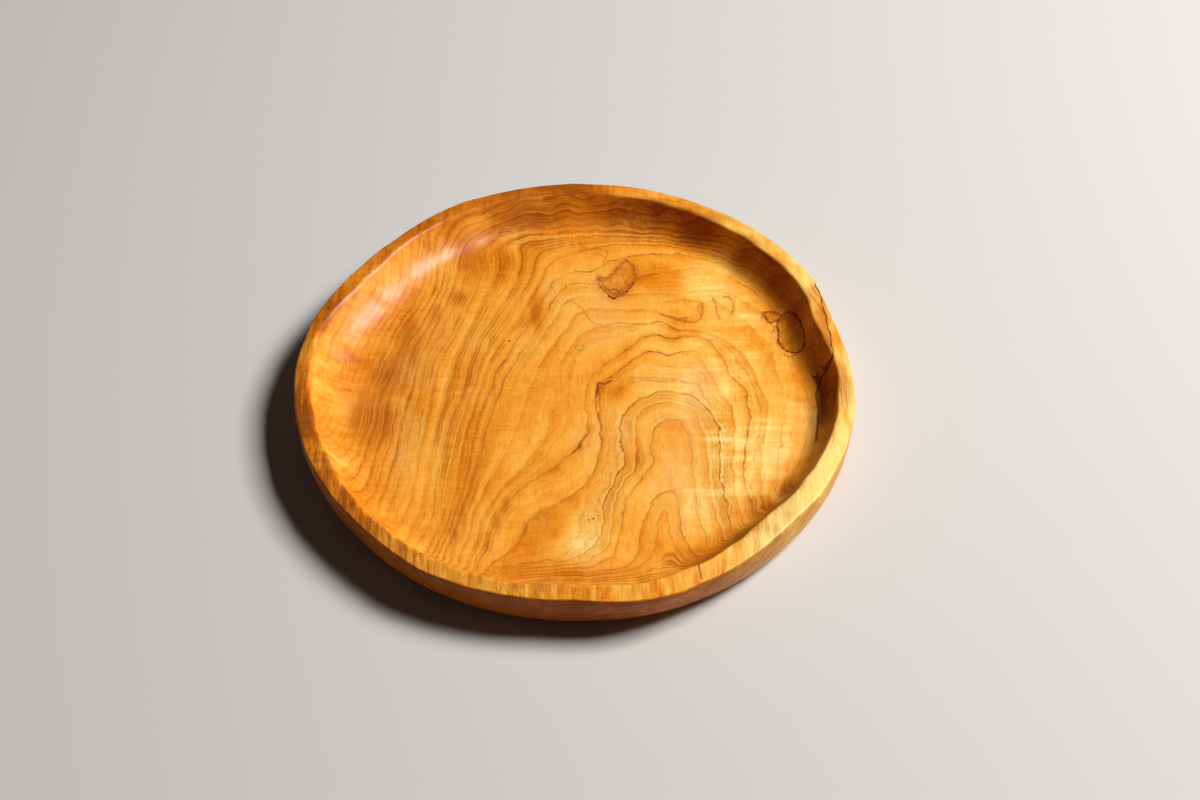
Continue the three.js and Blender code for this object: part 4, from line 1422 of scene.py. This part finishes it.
def wood(name):
    """Oiled wood whose rings, stains, painted shade and cracks are kept on the corners of the piece."""
    colours = bpy.context.scene.plate_colours
    material, shader, wire = new_material(name, Coat_Roughness=0.2, Specular_IOR_Level=0.16)
    place = wire.millimetres()
    across = place.axis("X")
    along = place.axis("Y")
    rim = wire.attribute("rim")
    wall = wire.attribute("wall")
    flamed = wire.attribute("flamed")
    per_mm = wire.attribute("rings_per_mm")
    boldness = wire.attribute("boldness")
    # Unrest is the wilder half of the board round its heart. The lit side is the right, towards the lamp,
    # where the outer wall's painted shade gives way to a paler colour: painted light.
    unrest = across.between(-40, 15)
    lit_side = across.between(20, 100)

    # The lines wander a little everywhere, and are jagged round the heart of the board
    wander = place.swing("wander") * (0.25 + per_mm.between(0.55, 0.2) * 0.75)
    jagged = place.swing("jagged") * (0.4 + per_mm.between(0.6, 0.15) * 0.6)
    ring = wire.attribute("ring") + per_mm * (wander * 6.0 + jagged * (unrest * 2.4 + 1.4))
    clear = (1 - wire.attribute("faint") * 0.75) * (1 - rim * 0.70)

    # Figure: broad bands and fine streaks that keep to the rings, and late wood at the end of each ring
    on_ring = wire.point(ring, along)
    streak = on_ring.noise("streak")
    season = ring.fraction() ** 2.5 * (0.05 + place.noise("season").between(0.40, 0.66) * 0.22)
    banded = on_ring.swing("band") * 0.30 + (streak - 0.5) * (0.46 - unrest * 0.14) - season
    figure = banded * (0.25 + clear * 0.75)

    # Tone of the wood: the figure, flames, clouds, curls across the grain, and flecks and streaks along it
    torn = place.swing("torn")
    amber = (wire.attribute("amber") * (1 - rim) + torn * 0.5).between(0.0, 1.15)
    yellow = (wire.attribute("yellow") * (1 - rim) + torn * 0.5).between(0.05, 1.1)
    end_grain = wire.attribute("end_grain").between(0.3, 1.0)
    cut_grain = place.noise("cut")
    cut_streak = (cut_grain - 0.5) * (rim * (0.7 + along.between(60, -20) * 0.6) + wall * 0.3)
    cloud = place.swing("cloud") * (0.75 + unrest * 0.30)
    curl = place.swing("curl") * (1 - unrest * 0.6)
    ripple = place.noise("ripple")
    plainness = figure * (1 + wall * 0.6) + place.swing("flame") * flamed + cut_streak + cloud
    plainness = plainness + place.swing("fleck") * 0.34 + curl * 0.30
    # The outer wall is painted darker, as painted shade, and paler on the lit side, as painted light. Amber
    # patches darken the wood, part of them as painted shade, and end grain darkens it.
    darkening = amber * 0.22 + end_grain * 0.14 + wall * (0.26 - lit_side * 0.50) + flamed * 0.06
    # Yellow patches are paler wood, lightened further in ripples across the grain: that ripple is painted sheen
    lightening = yellow * (0.29 + (ripple - 0.5) * 0.7) + wire.attribute("rim_tone")
    plain = (0.585 + plainness + lightening - darkening).ramp(
        (0.05, colours.brown_stain),
        (0.28, colours.amber_wood),
        (0.52, colours.honey_wood),
        (0.74, colours.pale_wood),
        (0.95, colours.yellow_wood),
    )

    # Patches with a golden or a red cast, greyed streaks of the rim, and stains that run in streaks along the
    # rings. Along the outer wall, and in the brown patches on the right and back inner wall, these streaks are
    # painted shade, weaker on the lit side.
    gilt = amber.between(0.7, 1.0) * 0.6 + wall * 0.4
    golden = wire.blend(gilt, plain, colours.golden_cast, way="MULTIPLY")
    blush = place.noise("blush").between(0.50, 0.72) * (1 - rim) * 0.45
    reddish = wire.blend(blush, golden, colours.red_wood)
    grey = wire.attribute("greyed") * cut_grain.between(0.56, 0.40) * (1 - wall)
    greyed = wire.blend(grey * 0.6, reddish, colours.greyed_wood)
    stain_and_shade = wire.attribute("brown") + wall * (0.7 - lit_side * 0.8) + torn * 0.7
    tan = stain_and_shade.between(0.10, 1.0) * (0.20 + streak.between(0.62, 0.40) * 0.70)
    tanned = wire.blend(tan, greyed, colours.tan_stain)
    dark_stain_and_shade = stain_and_shade.between(0.95, 1.7) * (0.15 + streak.between(0.58, 0.40) * 0.80)
    stained_and_shaded = wire.blend(dark_stain_and_shade, tanned, colours.brown_stain)

    # Fine lines between the numbered rings, each with a strength of its own
    patchy = place.noise("patchy").between(0.34, 0.64)
    thirds = ring.split_rings(per_mm, 3.0, 0.55) * (0.12 + patchy * (0.50 - unrest * 0.20))
    hairs = ring.split_rings(per_mm, 7.0, 0.36) * (0.10 + patchy * (0.50 - unrest * 0.26))
    broken = 0.45 + place.noise("broken").between(0.36, 0.60) * 0.65
    crowded = 1 + wall * (1.2 - lit_side * 0.9) + along.between(84, 100) * 0.9
    thin_colour = wire.blend(wall, colours.brown_stain, colours.vein)
    lined = wire.blend((thirds + hairs) * broken * clear * crowded, stained_and_shaded, thin_colour)

    # Bold lines on the numbered rings, each with a stippled shade beside it
    fade = place.noise("fade").between(0.30, 0.56)
    away = abs(ring - ring.rounded()) / per_mm
    stipple = place.noise("stipple").between(0.44, 0.62)
    shade = away.between(2.4, 0.1) * stipple * boldness ** 1.5 * (0.08 + fade * 0.34) * clear
    ink = away.between(0.62, 0.02) * (0.55 + unrest * 0.45) + away.between(2.0, 0.1) * (1 - unrest) * 0.30
    bold = ink * boldness * (0.34 + fade * 0.58) * broken * clear
    sooty = wire.blend(shade, lined, colours.brown_stain)
    line_colour = wire.blend(unrest, colours.brown_stain, colours.vein)
    drawn = wire.blend(bold, sooty, line_colour)

    # Stains round the knots, painted reddish shade along the right and back inner wall and in the hollow,
    # and cracks
    red_stain_and_shade = wire.attribute("stain") * place.noise("mottle").between(0.25, 0.65)
    reddened = wire.blend(red_stain_and_shade, drawn, colours.knot_stain)
    crack = wire.attribute("crack") * (0.7 + stipple * 0.3)
    crack_colour = wire.blend(crack.between(0.35, 0.7), colours.brown_stain, colours.crack)
    split = wire.blend((crack * 1.3).between(0.0, 1.0) * 0.85, reddened, crack_colour)

    # Pores, which are short dark dashes along the grain, and a painted sheen: paler yellow ripples across it
    # that stand for the wood's shimmer in the light, strongest on the yellow patches
    pores = place.noise("pores").between(0.60, 0.74)
    pored = wire.blend(pores * 0.32, split, colours.brown_stain)
    painted_sheen = ripple.between(0.45, 0.75) * (0.04 + yellow * 0.36)
    finished = wire.blend(painted_sheen, pored, colours.yellow_wood, way="SCREEN")

    connect(shader, {
        "Base Color": finished,
        "Roughness": 0.33 + streak * 0.14 + bold * 0.10 + crack * 0.20,
        "Coat Weight": (0.12 - pores * 0.07) * (1 - wall),
        "Normal": (streak * 0.5 - bold * 0.6 - pores * 0.5 - crack * 2.0).bump(0.25, 0.12 * MM),
    })
    return material


def grown_in_bark(name):
    """Dull, crumbly bark with lighter flakes."""
    colours = bpy.context.scene.plate_colours
    material, shader, wire = new_material(name, Specular_IOR_Level=0.3)
    flakes = wire.millimetres().noise("flakes")
    connect(shader, {
        "Base Color": flakes.ramp((0.35, colours.bark), (0.75, colours.bark_flake)),
        "Roughness": 0.72 + flakes * 0.2,
        "Normal": flakes.bump(0.8, 0.4 * MM),
    })
    return material


def bark_material():
    return bpy.data.materials.get("grown_in_bark") or grown_in_bark("grown_in_bark")


def knot_material():
    return bpy.data.materials.get("oiled_knot") or wood("oiled_knot")


# Operators

class PLATE_OT_turn_blank(bpy.types.Operator):
    """Turn the round blank and draw its outlines out of round"""

    bl_idname = "plate.turn_blank"
    bl_label = "Turn Blank"

    def execute(self, context):
        blank = turned_blank(context.scene.plate_sizes, "plate_blank")
        lay_board_map(copy_of(blank, "plate_wood"))
        return {"FINISHED"}


class PLATE_OT_let_in_arrow_knot(bpy.types.Operator):
    """Let the arrow-shaped knot and the bark along its lower edges into the floor"""

    bl_idname = "plate.let_in_arrow_knot"
    bl_label = "Let In Arrow Knot"

    def execute(self, context):
        sizes = context.scene.knot_sizes
        middle = knot_middle(ARROW_KNOT_PLACE)
        outline = closed_curve(ARROW_KNOT_OUTLINE, middle)
        lean = ARROW_KNOT_LEAN
        bark_edge = sizes.seat_gap + uneven(sizes.bark_thickness, len(outline), ARROW_BARK_SEED)

        knot = knot_prism("arrow_knot", outline, 0, lean)
        fit_to_plate(knot)
        smooth(knot, KNOT_SMOOTHING)
        lay_knot_figure(knot, middle, *ARROW_KNOT_RING)
        seat(knot, knot_material(), "knot_wood", "corner_knot")

        bark = knot_prism("arrow_knot_bark", outline, bark_edge, lean)
        cut(bark, "DIFFERENCE", knot_prism("knot_hole", outline, sizes.seat_gap, lean))
        self.keep_below(bark, middle[1] + sizes.arrow_bark_top)
        fit_to_plate(bark, sizes.bark_sink)
        smooth(bark, KNOT_SMOOTHING)
        seat(bark, bark_material(), "bark", "corner_knot_bark")

        let_in(knot_prism("knot_socket", outline, sizes.seat_gap, lean))
        bark_socket = knot_prism("bark_socket", outline, bark_edge + sizes.seat_gap, lean)
        self.keep_below(bark_socket, middle[1] + sizes.arrow_bark_top + sizes.seat_gap)
        let_in(bark_socket)
        return {"FINISHED"}

    @staticmethod
    def keep_below(piece, line):
        """Cuts off what lies beyond a line across the knot, towards +Y."""
        with Editing(piece):
            bpy.ops.mesh.bisect(plane_co=(0, line, 0), plane_no=(0, 1, 0), use_fill=True, clear_outer=True)
        face_outwards(piece)


class PLATE_OT_let_in_twin_knots(bpy.types.Operator):
    """Let the long and the small knot, and the band of bark round them, into the cove"""

    bl_idname = "plate.let_in_twin_knots"
    bl_label = "Let In Twin Knots"

    def execute(self, context):
        sizes = context.scene.knot_sizes
        middle = knot_middle(TWIN_KNOT_PLACE)
        long_outline = closed_curve(LONG_KNOT_OUTLINE, middle)
        small_outline = closed_curve(SMALL_KNOT_OUTLINE, middle)
        lean = TWIN_KNOT_LEAN
        bark_edge = sizes.seat_gap + uneven(sizes.bark_thickness, OUTLINE_STEPS, TWIN_BARK_SEED)

        def both(name, growth):
            joined = knot_prism(name, long_outline, growth, lean)
            cut(joined, "UNION", knot_prism("small_part", small_outline, growth, lean))
            return joined

        knots = [
            ("long_knot", long_outline, LONG_KNOT_RING, "main_knot"),
            ("small_knot", small_outline, SMALL_KNOT_RING, "side_knot"),
        ]
        for name, outline, ring, node in knots:
            knot = knot_prism(name, outline, 0, lean)
            fit_to_plate(knot)
            drop_empty_faces(knot)
            smooth(knot, KNOT_SMOOTHING)
            lay_knot_figure(knot, outline.mean(axis=0), *ring)
            seat(knot, knot_material(), "knot_wood", node)

        band = both("twin_bark_ring", bark_edge)
        cut(band, "DIFFERENCE", both("knot_holes", sizes.seat_gap))
        fit_to_plate(band, sizes.bark_sink)
        smooth(band, KNOT_SMOOTHING)
        seat(band, bark_material(), "bark", "twin_knot_bark")

        let_in(both("twin_socket", bark_edge + sizes.seat_gap))
        return {"FINISHED"}


class PLATE_OT_let_in_rim_seam(bpy.types.Operator):
    """Let the sheet of bark that crosses the rim into it"""

    bl_idname = "plate.let_in_rim_seam"
    bl_label = "Let In Rim Seam"

    def execute(self, context):
        sizes = context.scene.knot_sizes
        seam = self.strip("rim_seam_bark", sizes.seam_thickness, sizes.seam_depth)
        fit_to_plate(seam, sizes.bark_sink)
        smooth(seam, KNOT_SMOOTHING)
        seat(seam, bark_material(), "bark", "rim_bark_seam")
        thickness = sizes.seam_thickness + 2 * sizes.seat_gap
        let_in(self.strip("seam_socket", thickness, sizes.seam_depth + sizes.seat_gap))
        return {"FINISHED"}

    @staticmethod
    def strip(name, thickness, depth):
        """A strip along the seam's line across the rim, leaning in as it goes down."""
        plate = bpy.context.scene.plate_sizes
        sizes = bpy.context.scene.knot_sizes
        share = np.linspace(0, 1, SEAM_STEPS)
        bearing = sizes.seam_start + share * (sizes.seam_end - sizes.seam_start)
        inner = inner_radius(plate, bearing)
        radius = inner + (outer_radius(plate, bearing) - inner) * share ** sizes.seam_bend
        line = np.stack([radius * np.cos(bearing), radius * np.sin(bearing)], axis=1)
        first = line[0] - line[1]
        last = line[-1] - line[-2]
        line = np.vstack([
            line[0] + first * OVERRUN / np.linalg.norm(first),
            line,
            line[-1] + last * OVERRUN / np.linalg.norm(last),
        ])
        side = to_the_side(np.gradient(line, axis=0))
        turn = np.linspace(0, SEAM_TURN, len(line))[:, None]
        line = line + side * sum(swing * np.sin(pace * turn + start) for pace, start, swing in SEAM_WAVER) * MM
        pace, swell = SEAM_SWELL
        half = thickness / 2 * (1 + swell * np.sin(pace * turn))
        return leaning_prism(
            name,
            np.vstack([line + side * half, (line - side * half)[::-1]]),
            plate.rim_height - depth,
            plate.rim_height,
            plate.rim_height + OVERRUN,
            (sizes.seam_lean, 0),
            0,
        )


class PLATE_OT_finish_wood(bpy.types.Operator):
    """Lay the figure of the wood over the plate and oil it"""

    bl_idname = "plate.finish_wood"
    bl_label = "Finish Wood"

    def execute(self, context):
        plate = bpy.data.objects["plate_wood"]
        bpy.data.objects.remove(bpy.data.objects["plate_blank"])
        smooth(plate, BOARD_SMOOTHING)
        lay_socket_map(plate)
        lay_figure(plate)
        seat(plate, wood("oiled_olive"), "olive_wood", "plate_body")
        return {"FINISHED"}


class PLATE_OT_set_stage(bpy.types.Operator):
    """Set up the floor, the lamp and the camera"""

    bl_idname = "plate.set_stage"
    bl_label = "Set Stage"

    def execute(self, context):
        scene = context.scene
        bpy.ops.object.select_all(action="DESELECT")
        bpy.ops.mesh.primitive_plane_add(size=FLOOR_SIZE)
        floor = context.view_layer.objects.active
        floor.name = "stage_floor"
        material, shader, _ = new_material("stage_floor", Roughness=0.9, Specular_IOR_Level=0.1)
        shader.inputs["Base Color"].default_value = (*scene.plate_colours.stage_floor, 1)
        floor.data.materials.append(material)

        world = bpy.data.worlds.new("studio")
        world.use_nodes = True
        background = world.node_tree.nodes["Background"]
        background.inputs["Color"].default_value = (1, 1, 1, 1)
        background.inputs["Strength"].default_value = WORLD_STRENGTH
        scene.world = world
        self.add_lamp("key", *KEY_LAMP)

        bpy.ops.object.camera_add()
        camera = context.view_layer.objects.active
        camera.name = "photo_camera"
        camera.data.lens = LENS
        camera.data.sensor_width = SENSOR_WIDTH
        up = math.radians(CAMERA_HEIGHT)
        camera.location = CAMERA_AIM + CAMERA_DISTANCE * np.array([0, -math.cos(up), math.sin(up)])
        camera.rotation_euler = (math.pi / 2 - up, 0, 0)
        scene.camera = camera
        scene.view_settings.view_transform = "Standard"
        return {"FINISHED"}

    @staticmethod
    def add_lamp(name, bearing, height, distance, size, power):
        """A square lamp that faces the plate, from a bearing and a height in degrees."""
        around_z = math.radians(bearing)
        up = math.radians(height)
        bpy.ops.object.light_add(type="AREA")
        lamp = bpy.context.view_layer.objects.active
        lamp.name = name
        lamp.data.size = size
        lamp.data.energy = power
        lamp.location = (
            distance * math.cos(up) * math.cos(around_z),
            distance * math.cos(up) * math.sin(around_z),
            distance * math.sin(up),
        )
        lamp.rotation_euler = (math.pi / 2 - up, 0, around_z + math.pi / 2)


class PLATE_PT_panel(bpy.types.Panel):
    """Steps and settings of the plate"""

    bl_idname = "PLATE_PT_panel"
    bl_label = "Olive Wood Plate"
    bl_space_type = "VIEW_3D"
    bl_region_type = "UI"
    bl_category = "Plate"

    def draw(self, context):
        for step in STEPS:
            self.layout.operator(step.bl_idname)
        for group in GROUPS:
            settings = getattr(context.scene, group)
            box = self.layout.box()
            for name in settings.__annotations__:
                box.prop(settings, name)


STEPS = (
    PLATE_OT_turn_blank,
    PLATE_OT_let_in_arrow_knot,
    PLATE_OT_let_in_twin_knots,
    PLATE_OT_let_in_rim_seam,
    PLATE_OT_finish_wood,
    PLATE_OT_set_stage,
)
GROUPS = {"plate_sizes": PlateSizes, "knot_sizes": KnotSizes, "plate_colours": PlateColours}
CLASSES = (*GROUPS.values(), *STEPS, PLATE_PT_panel)


def register():
    for made in CLASSES:
        bpy.utils.register_class(made)
    for name, group in GROUPS.items():
        setattr(bpy.types.Scene, name, bpy.props.PointerProperty(type=group))


def unregister():
    for name in GROUPS:
        delattr(bpy.types.Scene, name)
    for made in reversed(CLASSES):
        bpy.utils.unregister_class(made)


def main():
    register()
    bpy.ops.plate.turn_blank()
    bpy.ops.plate.let_in_arrow_knot()
    bpy.ops.plate.let_in_twin_knots()
    bpy.ops.plate.let_in_rim_seam()
    bpy.ops.plate.finish_wood()
    bpy.ops.plate.set_stage()


if __name__ == "__main__":
    main()
